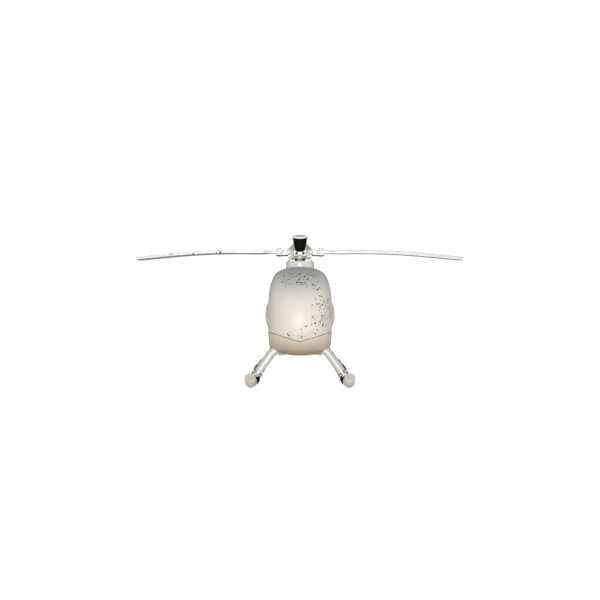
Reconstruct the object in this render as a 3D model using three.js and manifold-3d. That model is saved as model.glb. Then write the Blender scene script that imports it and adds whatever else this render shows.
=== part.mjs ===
// Remote control helicopter: two-bladed main rotor with collective pitch, egg-shaped
// body shell, skid landing gear on bent cross tubes, and a tail rotor driven by its own motor.
// Frame: millimetres, +Z up, nose towards -Y, tail towards +Y, +X to the right seen from the front.
// Origin: centre of the belly plate's lower face, straight below the main rotor mast.
import * as THREE from "three";
import { mergeVertices } from "three/addons/utils/BufferGeometryUtils.js";
import Module from "manifold-3d";

const wasm = await Module();
wasm.setup();

// ---------------------------------------------------------------- driving dimensions
const ROTOR_Z = 213.8; // height of the feathering axis
const ROTOR_R = 350;
const CHORD = 36; // main blade chord
const BLADE_T = 6.6; // main blade thickness
const BLADE_BOLT_X = 45.3; // blade bolt, distance from the mast
const MAST_R = 3;

const LINK_X = 16.4; // pitch link offset from the mast, sideways
const LINK_Y = 16; // pitch link offset from the mast, fore and aft
const LINK_BALL_Z = 201.2; // height of the pitch link's lower ball
const LINK_BALL_R = 1.5;
const LINK_PIN_R = 1;

const ROD_OFFSET = 24; // servo rods and their balls, distance from the mast
const ROD_TOP_Z = 193.2; // servo rod balls on the lower swashplate ring
const SERVO_AXIS_Z = 125;
const ROD_BALL_R = 2;
const ROD_PIN_R = 1.1;
const SIDE_HORN_LENGTH = 12;
const REAR_HORN_LENGTH = 10;

const GAP = 0.3; // panel gap
const BOOM_Z = 124;
const BOOM_R = 9;
const TAIL_Y = 442; // tail rotor axis
const TAIL_R = 75; // tail rotor radius
const PLATE_T = 2.5; // belly plate thickness
const FRAME_X = 16; // inner face of the frame plates
const FRAME_FIT_X = 15.7; // half width of most parts between the frame plates

const GEAR_TEETH = 52;
const PINION_TEETH = 10;
const MODULE = 1.45;
const MOTOR_Y = (MODULE * (GEAR_TEETH + PINION_TEETH)) / 2;

const SIDES = [["left", -1], ["right", 1]];

// ---------------------------------------------------------------- solids and geometry
function solid(geometry) {
  const bare = geometry.index ? geometry.toNonIndexed() : geometry.clone();
  for (const name of Object.keys(bare.attributes)) {
    if (name !== "position") bare.deleteAttribute(name);
  }
  const merged = mergeVertices(bare, 1e-4);
  const triVerts = new Uint32Array(merged.index.array);
  const vertProperties = new Float32Array(merged.attributes.position.array);
  const build = () => new wasm.Manifold(new wasm.Mesh({ numProp: 3, vertProperties, triVerts }));
  const result = build();
  if (result.volume() >= 0) return result;
  // inside out: turn every triangle over
  for (let i = 0; i < triVerts.length; i += 3) {
    [triVerts[i + 1], triVerts[i + 2]] = [triVerts[i + 2], triVerts[i + 1]];
  }
  return build();
}

function geometryOf(shape) {
  const mesh = shape.getMesh();
  const stride = mesh.numProp;
  const positions = new Float32Array(mesh.numVert * 3);
  for (let i = 0; i < mesh.numVert; i++) {
    positions.set(mesh.vertProperties.subarray(i * stride, i * stride + 3), i * 3);
  }
  const geometry = new THREE.BufferGeometry();
  geometry.setAttribute("position", new THREE.BufferAttribute(positions, 3));
  geometry.setIndex(new THREE.BufferAttribute(new Uint32Array(mesh.triVerts), 1));
  geometry.computeVertexNormals();
  return geometry;
}

const join = (first, ...rest) => rest.reduce((a, b) => a.add(b), first);
const cut = (first, ...rest) => rest.reduce((a, b) => a.subtract(b), first);
const turnZ = (shape, angle) => solid(geometryOf(shape).rotateZ(angle));
const halfTurn = (shape) => shape.rotate([0, 0, 180]);

// Spans are [low, high] pairs
const about = (centre, half) => [centre - half, centre + half];
const both = (half) => [-half, half];
const sideSpan = (side, near, far) => (side > 0 ? [near, far] : [-far, -near]);
const size = ([low, high]) => high - low;
const middle = ([low, high]) => (low + high) / 2;

const box = (x, y, z) =>
  solid(
    new THREE.BoxGeometry(size(x), size(y), size(z)).translate(middle(x), middle(y), middle(z)),
  );
const cylX = (r, x, { y = 0, z = 0, segments = 20 } = {}) =>
  solid(
    new THREE.CylinderGeometry(r, r, size(x), segments)
      .rotateZ(Math.PI / 2)
      .translate(middle(x), y, z),
  );
const cylY = (r, y, { x = 0, z = 0, segments = 20 } = {}) =>
  solid(
    new THREE.CylinderGeometry(r, r, size(y), segments)
      .rotateY(Math.PI / segments)
      .translate(x, middle(y), z),
  );
const cylZ = (r, z, { x = 0, y = 0, segments = 16, topRadius = r } = {}) =>
  solid(
    new THREE.CylinderGeometry(topRadius, r, size(z), segments)
      .rotateX(Math.PI / 2)
      .translate(x, y, middle(z)),
  );
const ball = (r, x, y, z) => solid(new THREE.SphereGeometry(r, 10, 6).translate(x, y, z));

const toVectors = (points) => points.map(([a, b]) => new THREE.Vector2(a, b));
const polygon = (points) => new THREE.Shape(toVectors(points));

// profile: [radius, height] pairs from the axis back to the axis, or a closed ring
const latheGeometry = (profile, segments) =>
  new THREE.LatheGeometry(toVectors(profile), segments).rotateX(Math.PI / 2);
const latheZ = (profile, segments) => solid(latheGeometry(profile, segments));

const unitX = new THREE.Vector3(1, 0, 0);
const unitY = new THREE.Vector3(0, 1, 0);
const unitZ = new THREE.Vector3(0, 0, 1);
const OUTLINE_TO_YZ = new THREE.Matrix4().makeBasis(unitY, unitZ, unitX);

// Flat piece, thick along the named axis. The outline is a Shape or a list of points:
// (x, y) for axis z, (x, z) for axis y, (y, z) for axis x. A hole is [a, b, radius].
function plate(outline, axis, [low, high], { holes = [], curveSegments = 10 } = {}) {
  const shape = outline instanceof THREE.Shape ? outline : polygon(outline);
  for (const [a, b, r] of holes) {
    const hole = new THREE.Path();
    hole.absarc(a, b, r, 0, 2 * Math.PI, true);
    shape.holes.push(hole);
  }
  const geometry = new THREE.ExtrudeGeometry(shape, {
    depth: high - low,
    bevelEnabled: false,
    curveSegments,
  });
  if (axis === "z") geometry.translate(0, 0, low);
  if (axis === "y") geometry.rotateX(Math.PI / 2).translate(0, high, 0);
  if (axis === "x") geometry.applyMatrix4(OUTLINE_TO_YZ).translate(low, 0, 0);
  return solid(geometry);
}

// Outline round two circles, one above the other
function stadium(x, [lowZ, lowR], [highZ, highR]) {
  const shape = new THREE.Shape();
  shape.absarc(x, lowZ, lowR, Math.PI, 2 * Math.PI, false);
  shape.absarc(x, highZ, highR, 0, Math.PI, false);
  shape.closePath();
  return shape;
}

function roundedRect([x0, x1], [y0, y1], r) {
  const quarter = Math.PI / 2;
  const shape = new THREE.Shape();
  shape.moveTo(x0 + r, y0);
  shape.lineTo(x1 - r, y0);
  shape.absarc(x1 - r, y0 + r, r, -quarter, 0, false);
  shape.lineTo(x1, y1 - r);
  shape.absarc(x1 - r, y1 - r, r, 0, quarter, false);
  shape.lineTo(x0 + r, y1);
  shape.absarc(x0 + r, y1 - r, r, quarter, 2 * quarter, false);
  shape.lineTo(x0, y0 + r);
  shape.absarc(x0 + r, y0 + r, r, 2 * quarter, 3 * quarter, false);
  return shape;
}

// Round bar along a curve
function sweep(extrudePath, r, { steps, curveSegments }) {
  const shape = new THREE.Shape();
  shape.absarc(0, 0, r, 0, 2 * Math.PI, false);
  const options = { steps, extrudePath, curveSegments, bevelEnabled: false };
  return solid(new THREE.ExtrudeGeometry(shape, options));
}

function curvePath(...curves) {
  const path = new THREE.CurvePath();
  for (const curve of curves) path.add(curve);
  return path;
}
const line = (...points) => new THREE.LineCurve3(...points);
const bend = (...points) => new THREE.QuadraticBezierCurve3(...points);

// ---------------------------------------------------------------- materials
const material = (settings) => new THREE.MeshStandardMaterial(settings);
const MAT = {
  shell: material({ color: 0xe4dfd6, roughness: 0.35 }),
  collar: material({ color: 0xe6e2da, roughness: 0.4 }),
  pod: material({ color: 0xecd6c6, roughness: 0.4 }),
  blade: material({ color: 0xf4f4f2, roughness: 0.35 }),
  grip: material({ color: 0xfafafa, roughness: 0.3 }),
  link: material({ color: 0xe0dcd2, roughness: 0.45 }),
  silver: material({ color: 0xd9d9da, roughness: 0.3, metalness: 0.9 }),
  yoke: material({ color: 0xb4b4b2, roughness: 0.4, metalness: 0.6 }),
  black: material({ color: 0x0c0b0a, roughness: 0.6 }),
  skid: material({ color: 0x0f0f10, roughness: 0.45 }),
  toe: material({ color: 0xc9c0b4, roughness: 0.5 }),
  lid: material({ color: 0xf1eeea, roughness: 0.35 }),
  steel: material({ color: 0xb9bcc0, roughness: 0.25, metalness: 1 }),
  carbon: material({ color: 0x1d1e20, roughness: 0.45 }),
  nylon: material({ color: 0xe9e6da, roughness: 0.55 }),
  servo: material({ color: 0x2a2c30, roughness: 0.5 }),
  battery: material({ color: 0x27406b, roughness: 0.4 }),
  board: material({ color: 0x23262a, roughness: 0.5 }),
  motor: material({ color: 0x9a9ea3, roughness: 0.3, metalness: 0.9 }),
};

// ---------------------------------------------------------------- groups
function add(parent, name, shape, meshMaterial) {
  const mesh = new THREE.Mesh(geometryOf(shape), meshMaterial);
  mesh.name = name;
  parent.add(mesh);
  return mesh;
}
function addGroup(parent, x = 0, y = 0, z = 0) {
  const group = new THREE.Group();
  group.position.set(x, y, z);
  parent.add(group);
  return group;
}
const root = new THREE.Group();
const airframe = addGroup(root);
const canopyGroup = addGroup(root);
const tailRotor = addGroup(root, 0, TAIL_Y, BOOM_Z);
const rotor = addGroup(root); // turns with the mast
const motorGroup = addGroup(root, 0, MOTOR_Y, 0);
const swash = addGroup(root);

// ---------------------------------------------------------------- body form
const NOSE_Y = -165;
const MAX_FRONT_Y = -35; // the full section runs from here
const MAX_REAR_Y = 25; // to here
const KEEL_REAR_Y = 80; // the keel starts to rise here
const TAIL_END_Y = 190;
const TAIL_END_R = 13.5;
const BODY_HALF_WIDTH = 66.8;
const BODY_TOP = 180.2;
const BODY_BOTTOM = 0.2;
const NOSE_Z = 77.3;
const SKIN = 2;

// Half section from the keel to the crown: [share of half width, share of height]
const SECTION = [
  [0, 0], [0.42, 0.007], [0.7, 0.026], [0.87, 0.05], [0.932, 0.07],
  [0.968, 0.125], [0.996, 0.25], [1.0, 0.4], [0.99, 0.56], [0.958, 0.715],
  [0.885, 0.83], [0.79, 0.908], [0.62, 0.957], [0.34, 0.99], [0, 1],
];
// Places of the cross sections, as shares of the tail's and of the nose's length
const TAIL_STATIONS = [0.86, 0.72, 0.56, 0.36, 0.18];
const NOSE_STATIONS = [0.28, 0.5, 0.67, 0.8, 0.9, 0.965, 0.993, 1];

const clamp01 = (t) => Math.max(0, Math.min(1, t));
const smooth = (t) => t * t * (3 - 2 * t);

// Half width, top and bottom of the body at y; soft blends SECTION into an ellipse
function station(y, inset) {
  const halfWidth = BODY_HALF_WIDTH - inset;
  const top = BODY_TOP - inset;
  const bottom = BODY_BOTTOM + inset;
  if (y < MAX_FRONT_Y) {
    const along = Math.min(1, (MAX_FRONT_Y - y) / (MAX_FRONT_Y - (NOSE_Y + inset)));
    return {
      halfWidth: halfWidth * Math.sqrt(Math.max(0, 1 - along ** 2.4)),
      top: NOSE_Z + (top - NOSE_Z) * Math.max(0, 1 - along ** 2.2) ** 0.62,
      bottom: NOSE_Z - (NOSE_Z - bottom) * Math.sqrt(Math.max(0, 1 - along ** 6.5)),
      soft: Math.max(0, (along - 0.35) / 0.65) ** 1.6,
    };
  }
  const along = clamp01((y - MAX_REAR_Y) / (TAIL_END_Y - MAX_REAR_Y));
  const alongKeel = clamp01((y - KEEL_REAR_Y) / (TAIL_END_Y - KEEL_REAR_Y));
  const taper = smooth(along);
  const endR = TAIL_END_R - inset;
  return {
    halfWidth: halfWidth + (endR - halfWidth) * taper,
    top: top + (BOOM_Z + endR - top) * taper ** 1.15,
    bottom: bottom + (BOOM_Z - endR - bottom) * smooth(alongKeel) ** 0.9,
    soft: smooth(Math.min(1, along * 1.1)),
  };
}

// The body, shrunk by inset: a sphere's mesh with its rows moved onto the sections
function bodyShape(inset) {
  const half = SECTION.length - 1;
  const around = 2 * half;
  const nose = NOSE_Y + inset;
  const tail = TAIL_END_Y - (inset ? inset + 0.001 : 0);
  // the first two rows are the centre and the rim of the flat tail end
  const ys = [
    tail,
    tail,
    ...TAIL_STATIONS.map((t) => MAX_REAR_Y + (tail - MAX_REAR_Y) * t),
    MAX_REAR_Y,
    MAX_FRONT_Y,
    ...NOSE_STATIONS.map((t) => MAX_FRONT_Y + (nose - MAX_FRONT_Y) * t),
  ];
  const rows = ys.length - 1;
  const geometry = new THREE.SphereGeometry(1, around, rows);
  const position = geometry.attributes.position;
  for (let row = 0; row <= rows; row++) {
    const { halfWidth, top, bottom, soft } = station(ys[row], inset);
    const pole = row === 0 || row === rows;
    for (let column = 0; column <= around; column++) {
      const i = row * (around + 1) + column;
      if (pole) {
        position.setXYZ(i, 0, ys[row], (bottom + top) / 2);
        continue;
      }
      // columns start at the side, half way up the section
      const turn = ((column % around) + half / 2) % around;
      const up = turn <= half ? turn : around - turn;
      const side = turn <= half ? -1 : 1;
      const [sectionX, sectionZ] = SECTION[up];
      const angle = (up / half) * Math.PI - Math.PI / 2;
      const shareX = sectionX + (Math.cos(angle) - sectionX) * soft;
      const shareZ = sectionZ + ((1 + Math.sin(angle)) / 2 - sectionZ) * soft;
      position.setXYZ(i, side * shareX * halfWidth, ys[row], bottom + (top - bottom) * shareZ);
    }
  }
  return solid(geometry);
}
const bodyClearance = bodyShape(-GAP);

// ---------------------------------------------------------------- landing gear
const SKID_X = 94;
const SKID_Z = -47.5;
const SKID_R = 9.9;
const SKID_WALL = 2;
const TOE_R = 9.6;
const TOE_Y = -146.5;
const LEG_R = 8.2;
const LEG_SLOPE = 0.726; // sideways travel of a leg per mm of height
const FOOT_RISE = 1.2; // leg ends above the skid's centre
const BOWS = [["front", -97], ["rear", 118]];
const BOW_Z = 11; // centre of the horizontal part of the cross tubes
const BOW_BEND = 9; // length of each bend along the straight parts

function bowCurve(y) {
  const cornerX = SKID_X - LEG_SLOPE * (BOW_Z - SKID_Z); // where leg and cross tube would meet
  const slant = Math.hypot(LEG_SLOPE, 1);
  const at = (side, x, z) => new THREE.Vector3(side * x, y, z);
  const foot = (side) => at(side, SKID_X - LEG_SLOPE * FOOT_RISE, SKID_Z + FOOT_RISE);
  const legTop = (side) =>
    at(side, cornerX + (LEG_SLOPE / slant) * BOW_BEND, BOW_Z - BOW_BEND / slant);
  const corner = (side) => at(side, cornerX, BOW_Z);
  const crossEnd = (side) => at(side, cornerX - BOW_BEND, BOW_Z);
  return curvePath(
    line(foot(-1), legTop(-1)),
    bend(legTop(-1), corner(-1), crossEnd(-1)),
    line(crossEnd(-1), crossEnd(1)),
    bend(crossEnd(1), corner(1), legTop(1)),
    line(legTop(1), foot(1)),
  );
}
const bow = (y, r) => sweep(bowCurve(y), r, { steps: 26, curveSegments: 6 });
const skidBar = (r, side) => cylY(r, both(200), { x: side * SKID_X, z: SKID_Z });

function landingBow(y) {
  const clearR = SKID_R + 1.1;
  return cut(bow(y, LEG_R), skidBar(clearR, -1), skidBar(clearR, 1));
}

function skidTube() {
  // the bore stops short of the rear end
  const bore = cylY(SKID_R - SKID_WALL, [-140, 150], { segments: 12 });
  return cut(cylY(SKID_R, [-136, 165]), bore);
}

// Upturned front end of a skid
function skidToe() {
  const angle = (50 * Math.PI) / 180;
  const bendR = 28;
  const plug = 10; // length running back into the tube
  const tip = 4; // straight length beyond the bend
  const at = (y, z) => new THREE.Vector3(0, y, z);
  const endY = -bendR * Math.sin(angle);
  const endZ = bendR * (1 - Math.cos(angle));
  const curve = curvePath(
    line(at(plug, 0), at(0, 0)),
    bend(at(0, 0), at(-bendR * Math.tan(angle / 2), 0), at(endY, endZ)),
    line(at(endY, endZ), at(endY - tip * Math.cos(angle), endZ + tip * Math.sin(angle))),
  );
  return sweep(curve, TOE_R, { steps: 8, curveSegments: 8 });
}

function skidClamp(y, side) {
  const x = side * SKID_X;
  const sleeveR = LEG_R + 1.5;
  const sleeve = solid(
    new THREE.CylinderGeometry(sleeveR, sleeveR, 13, 16)
      .rotateX(Math.PI / 2)
      .translate(0, 0, 11.5)
      .rotateY(-Math.atan(LEG_SLOPE) * side)
      .translate(x, y, SKID_Z),
  );
  const clamp = cut(
    join(cylY(SKID_R + 2.6, about(y, 12), { x, z: SKID_Z }), sleeve),
    skidBar(SKID_R + 0.3, side),
    bow(y, LEG_R + 0.3),
    box(about(x, 20), about(y, 20), [SKID_Z - 20, SKID_Z - 5.5]), // open underside
  );
  // keep the piece that holds the skid tube
  return clamp.decompose().reduce((a, b) => (a.volume() > b.volume() ? a : b));
}

for (const [end, y] of BOWS) add(airframe, `${end}_landing_bow`, landingBow(y), MAT.silver);
for (const [name, side] of SIDES) {
  const skid = addGroup(airframe, side * SKID_X, 0, SKID_Z);
  add(skid, `${name}_skid_tube`, skidTube(), MAT.skid);
  add(skid, `${name}_skid_toe`, skidToe(), MAT.toe).position.set(0, TOE_Y, 0);
}
for (const [end, y] of BOWS) {
  for (const [name, side] of SIDES) {
    add(airframe, `${end}_${name}_skid_clamp`, skidClamp(y, side), MAT.silver);
  }
}

// ---------------------------------------------------------------- belly plate and frame
const bellyPlate = (z, grow = 0) =>
  plate(roundedRect(both(43 + grow), [-106 - grow, 128 + grow], 8 + grow), "z", z, {
    curveSegments: 3,
  });

const FRAME_FOOT_Z = PLATE_T + GAP;
const FRAME_T = 2;
// [y, z] round the plate's edge
const FRAME_OUTLINE = [
  [-80, FRAME_FOOT_Z], [76, FRAME_FOOT_Z], [94, 34], [126, 108], [126, 138], [92, 156],
  [40, 158], [-26, 158], [-44, 138], [-56, 100], [-80, 70],
];
// [y, z, radius]
const FRAME_HOLES = [
  [-62, 22, 8], [-28, 24, 10], [8, 30, 9], [-42, 60, 9],
  [70, 60, 9], [66, 28, 8], [-22, 120, 10], [78, 128, 10],
];

function framePlate(side) {
  const outerX = FRAME_X + FRAME_T;
  const sheet = plate(FRAME_OUTLINE, "x", sideSpan(side, FRAME_X, outerX), {
    holes: FRAME_HOLES,
    curveSegments: 5,
  });
  const gearSlot = roundedRect(both(41), [81.5, 94.5], 5);
  const slotSpan = sideSpan(side, FRAME_X - 1, outerX + 1);
  return cut(sheet, plate(gearSlot, "x", slotSpan, { curveSegments: 3 }));
}

function bearingBlock(bottom, top) {
  const block = box(both(15.8), both(15), [bottom, top]);
  return cut(block, cylZ(MAST_R + 0.35, [bottom - 6, top + 4]));
}

function batteryPack() {
  const outline = roundedRect(both(15.5), [36.5, 66], 3);
  return plate(outline, "y", [-137, -84], { curveSegments: 3 });
}

function boomClamp() {
  const bore = cylY(BOOM_R + 0.35, [90, 160], { z: BOOM_Z, segments: 24 });
  return cut(box(both(FRAME_FIT_X), [98, 128], about(BOOM_Z, 13)), bore);
}

function sideServo(side) {
  const body = box(sideSpan(side, 26.6, 38.5), [4.5, 27.5], [104, 130]);
  const ears = box(sideSpan(side, 29.5, 31.5), [0.5, 31.5], [112, 122]);
  const bracket = box(sideSpan(side, 18.2, 31), [10, 26], [104.5, 108]);
  return join(body, ears, bracket);
}

function rearServo() {
  const body = box([3.4, FRAME_FIT_X], [26.6, 48], [101, 128]);
  const ears = box([4, 15.5], [22.8, 50], [104, 106.5]);
  return join(body, ears);
}

const batteryTray = box(both(FRAME_FIT_X), [-140, -42], [34, 36.2]);
const receiver = box(both(12), [-78, -46], [36.5, 48]);
const speedController = box(both(13), [44, 78], [FRAME_FOOT_Z, 13]);

add(airframe, "belly_plate", bellyPlate([0, PLATE_T]), MAT.silver);
for (const [name, side] of SIDES) {
  add(airframe, `${name}_frame_plate`, framePlate(side), MAT.carbon);
}
add(airframe, "upper_bearing_block", bearingBlock(145, 156), MAT.silver);
add(airframe, "lower_bearing_block", bearingBlock(56, 66), MAT.silver);
add(airframe, "battery_tray", batteryTray, MAT.carbon);
add(airframe, "battery_pack", batteryPack(), MAT.battery);
add(airframe, "receiver_unit", receiver, MAT.board);
add(airframe, "speed_controller", speedController, MAT.board);
add(airframe, "boom_clamp", boomClamp(), MAT.silver);
for (const [name, side] of SIDES) add(airframe, `${name}_servo`, sideServo(side), MAT.servo);
add(airframe, "rear_servo", rearServo(), MAT.servo);

// ---------------------------------------------------------------- shells
const SEAM_Z = 29.7; // waist seam on the centre line, at SEAM_FRONT_Y
const SEAM_RISE = 0.325; // rise per mm sideways
const SEAM_FALL = 0.0652; // fall per mm rearwards
const SEAM_FRONT_Y = -153;
const SEAM_LEVEL_Y = -90; // level behind here
const CANOPY_REAR_Y = -31.5; // canopy's rear edge at the crown
const CANOPY_SEAM_Y = -47; // the same edge's plane, carried down to z = 0
const COLLAR_BORE_R = 27.7;

// Everything above the waist seam: a straight vee seen from the nose, level along the sides
// behind SEAM_LEVEL_Y
function aboveSeam(lift) {
  const halfWidth = 110;
  const top = 260;
  const low = SEAM_Z + lift;
  const high = low + halfWidth * SEAM_RISE;
  const vee = [
    [-halfWidth, high], [0, low], [halfWidth, high], [halfWidth, top], [-halfWidth, top],
  ];
  const geometry = new THREE.ExtrudeGeometry(polygon(vee), {
    depth: 441,
    steps: 7,
    bevelEnabled: false,
  });
  geometry.rotateX(Math.PI / 2).translate(0, 225, 0);
  const position = geometry.attributes.position;
  for (let i = 0; i < position.count; i++) {
    const z = position.getZ(i);
    const run = Math.min(position.getY(i), SEAM_LEVEL_Y) - SEAM_FRONT_Y;
    if (z < 200) position.setZ(i, z - SEAM_FALL * run); // the seam's edge, not the top
  }
  return solid(geometry);
}

// Everything in front of the plane between canopy and rear cowl
function frontBlock(shift) {
  const seamY = CANOPY_SEAM_Y + shift;
  const crownY = CANOPY_REAR_Y + shift;
  const outline = [[-200, 0], [seamY, 0], [crownY, 182], [crownY, 200], [-200, 200]];
  return plate(outline, "x", both(90));
}

const shell = bodyShape(0).subtract(bodyShape(SKIN));
const upperShell = shell.intersect(aboveSeam(GAP / 2));

function bellyPan() {
  const lowerShell = shell.subtract(aboveSeam(-GAP / 2));
  const legNotches = join(...BOWS.map(([, y]) => bow(y, LEG_R + 0.7)));
  return cut(lowerShell, bellyPlate([-3, 9.5], 0.5), legNotches);
}

function rearCowl() {
  const boomHole = cylY(BOOM_R + 0.6, [150, 230], { z: BOOM_Z, segments: 24 });
  const collarHole = cylZ(COLLAR_BORE_R - 0.1, [150, 200], { segments: 32 });
  return cut(upperShell, frontBlock(GAP), boomHole, collarHole);
}

function mastCollar() {
  const ring = [
    [COLLAR_BORE_R, 164], [29.9, 164], [29.9, 190.6],
    [29.3, 192.2], [COLLAR_BORE_R, 193.2], [COLLAR_BORE_R, 164],
  ];
  return latheZ(ring, 32).subtract(bodyClearance);
}

// The part of an ellipsoid that stands out of the body's side
function sidePod(side) {
  const ellipsoid = new THREE.SphereGeometry(1, 22, 14)
    .scale(15.5, 60, 33.5)
    .translate(side * 60.4, 34, 82);
  return solid(ellipsoid).subtract(bodyClearance);
}

add(airframe, "belly_pan", bellyPan(), MAT.shell);
add(airframe, "rear_cowl", rearCowl(), MAT.shell);
add(airframe, "mast_collar", mastCollar(), MAT.collar);
for (const [name, side] of SIDES) add(airframe, `${name}_side_pod`, sidePod(side), MAT.pod);
add(canopyGroup, "nose_canopy", upperShell.intersect(frontBlock(0)), MAT.shell);

// ---------------------------------------------------------------- tail
const boomBar = (r, y, segments = 24) => cylY(r, y, { z: BOOM_Z, segments });
const BOOM_WALL = 1.2;
const TAIL_BLADE_ROOT = 12.8; // distance of the blade root from the tail rotor axis

// [y, z] of the fin and [x, y] of the stabiliser
const FIN_OUTLINE = [
  [427.5, 114], [431, 138], [452, 156], [478, 190], [498, 190], [486, 150],
  [479, 124], [481, 92], [492, 52], [474, 52], [452, 96], [432, 108],
];
const STABILISER_OUTLINE = [
  [-70, 352], [-66, 338], [-14, 322], [14, 322], [66, 338], [70, 352], [66, 362], [-66, 362],
];
// tail motor's spindle and bell: [radius, height along its axis]
const TAIL_BELL_PROFILE = [
  [0, -3.6], [1.7, -3.6], [1.7, 17.2], [8.4, 17.2], [8.4, 6],
  [10.6, 6], [10.6, 19.2], [3, 19.2], [3, 22.2], [0, 22.2],
];
// [along the chord, across it]
const TAIL_BLADE_SECTION = [[-9, -0.9], [9, 0.2], [9, 0.9], [-3, 1.4], [-9, 0.6]];

function tailMotorMount() {
  const motorAxis = { y: TAIL_Y, z: BOOM_Z };
  const webX = both(4.2);
  const mount = join(
    boomBar(12.6, [404, 426.5]),
    box(webX, [424, 446], about(BOOM_Z, 10)),
    cylX(10, webX, motorAxis),
    cylX(7.6, [4, 15.6], motorAxis),
  );
  const spindleBore = cylX(2.2, [-10, 20], { ...motorAxis, segments: 12 });
  return cut(mount, boomBar(BOOM_R + 0.3, [400, 424.4]), spindleBore);
}

function tailStabiliser() {
  const sheet = plate(STABILISER_OUTLINE, "z", [BOOM_Z + 8.6, BOOM_Z + 11]);
  const sleeve = boomBar(12, [330, 354], 20);
  return cut(join(sheet, sleeve), boomBar(BOOM_R + 0.35, [300, 380]));
}

function tailBlade(angle) {
  const twist = (12 * Math.PI) / 180;
  const bladeAxes = new THREE.Matrix4().makeBasis(unitY, unitX, unitZ.clone().negate());
  const geometry = new THREE.ExtrudeGeometry(polygon(TAIL_BLADE_SECTION), {
    depth: TAIL_R - 13,
    bevelEnabled: false,
  });
  geometry
    .rotateZ(twist)
    .translate(0, 0, TAIL_BLADE_ROOT)
    .applyMatrix4(bladeAxes)
    .translate(26, 0, 0)
    .rotateX(angle);
  // round the tip to the rotor's circle
  return solid(geometry).intersect(cylX(TAIL_R, [10, 40], { segments: 48 }));
}

function tailPropeller() {
  const bar = plate(roundedRect(both(4.6), both(14.5), 3), "x", [23.4, 28.6], {
    curveSegments: 4,
  });
  return join(join(cylX(6.5, [22.6, 30]), bar), tailBlade(0), tailBlade(Math.PI));
}

const tailBoom = cut(boomBar(BOOM_R, [94, 424]), boomBar(BOOM_R - BOOM_WALL, [80, 440], 16));
add(airframe, "tail_boom", tailBoom, MAT.carbon);
add(airframe, "tail_motor_mount", tailMotorMount(), MAT.silver);
add(airframe, "tail_fin", plate(FIN_OUTLINE, "x", [-7, -4.6]), MAT.shell);
add(airframe, "tail_stabiliser", tailStabiliser(), MAT.shell);
const tailBell = add(tailRotor, "tail_motor_bell", latheZ(TAIL_BELL_PROFILE, 20), MAT.motor);
tailBell.rotation.y = Math.PI / 2;
const tailMesh = add(tailRotor, "tail_rotor", tailPropeller(), MAT.blade);
tailMesh.rotation.x = (35 * Math.PI) / 180;

// ---------------------------------------------------------------- drive: mast, main gear, motor
const PRESSURE_ANGLE = (20 * Math.PI) / 180;
const TOOTH_THINNING = 0.14; // taken off each flank, along the pitch circle
const MOTOR_SHAFT_R = 1.6;

// [radius, height]
const MOTOR_BELL_PROFILE = [
  [0, 30], [14, 30], [14, 56], [11.8, 56], [11.8, 32.6],
  [MOTOR_SHAFT_R, 32.6], [MOTOR_SHAFT_R, 84], [0, 84],
];
const STATOR_PROFILE = [
  [2.1, 34.5], [10.8, 34.5], [10.8, 56], [6, 58.5], [6, 60.5], [2.1, 60.5], [2.1, 34.5],
];

// Straight-flanked teeth through the involute's points near the root and at the tip
function gearShape(teeth, { addendum, dedendum }) {
  const pitchR = (MODULE * teeth) / 2;
  const tipR = pitchR + addendum;
  const rootR = pitchR - dedendum;
  const baseR = pitchR * Math.cos(PRESSURE_ANGLE);
  const involute = (angle) => Math.tan(angle) - angle;
  // half a tooth's thickness, as an angle, at a radius
  const halfTooth = (r) =>
    Math.PI / (2 * teeth) -
    TOOTH_THINNING / pitchR +
    involute(PRESSURE_ANGLE) -
    involute(Math.acos(baseR / r));
  const rootHalf = halfTooth(Math.max(baseR * 1.0005, rootR)) * 1.02;
  const tipHalf = halfTooth(tipR);
  const points = [];
  for (let tooth = 0; tooth < teeth; tooth++) {
    const centre = (2 * Math.PI * tooth) / teeth;
    for (const [r, angle] of [
      [rootR, centre - rootHalf],
      [tipR, centre - tipHalf],
      [tipR, centre + tipHalf],
      [rootR, centre + rootHalf],
    ]) {
      points.push([r * Math.cos(angle), r * Math.sin(angle)]);
    }
  }
  return polygon(points);
}

function mainGear() {
  const outline = gearShape(GEAR_TEETH, { addendum: 0.85, dedendum: 1.35 });
  const height = [80, 96];
  const holeRing = 22;
  const holes = [0, 1, 2, 3].map((i) => {
    const angle = (i * Math.PI) / 2 + 0.5;
    const x = holeRing * Math.cos(angle);
    const y = holeRing * Math.sin(angle);
    return cylZ(8, height, { x, y, segments: 10 });
  });
  const gear = join(plate(outline, "z", [85, 91]), cylZ(8, height));
  return cut(gear, join(...holes), cylZ(MAST_R + 0.25, [70, 100]));
}

// Motor bell, shaft and pinion
function motorRotor() {
  const outline = gearShape(PINION_TEETH, { addendum: 0.8, dedendum: 1.4 });
  // a tooth gap faces -Y, where the gear tooth lies; miss is the share of a pitch by which
  // that gear tooth is off the centre line
  const miss = GEAR_TEETH / 4 - Math.round(GEAR_TEETH / 4);
  const turn = -Math.PI / 2 + Math.PI / PINION_TEETH + (miss * 2 * Math.PI) / PINION_TEETH;
  const pinion = turnZ(plate(outline, "z", [84, 92]), turn);
  return join(latheZ(MOTOR_BELL_PROFILE, 20), pinion, cylZ(MOTOR_SHAFT_R, [83, 94]));
}

function motorMount() {
  const crossPlate = box(both(FRAME_FIT_X), both(16), [59.8, 63]);
  const bore = cylZ(2.1, [55, 70], { segments: 12 });
  return cut(join(latheZ(STATOR_PROFILE, 16), crossPlate), bore);
}

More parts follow.
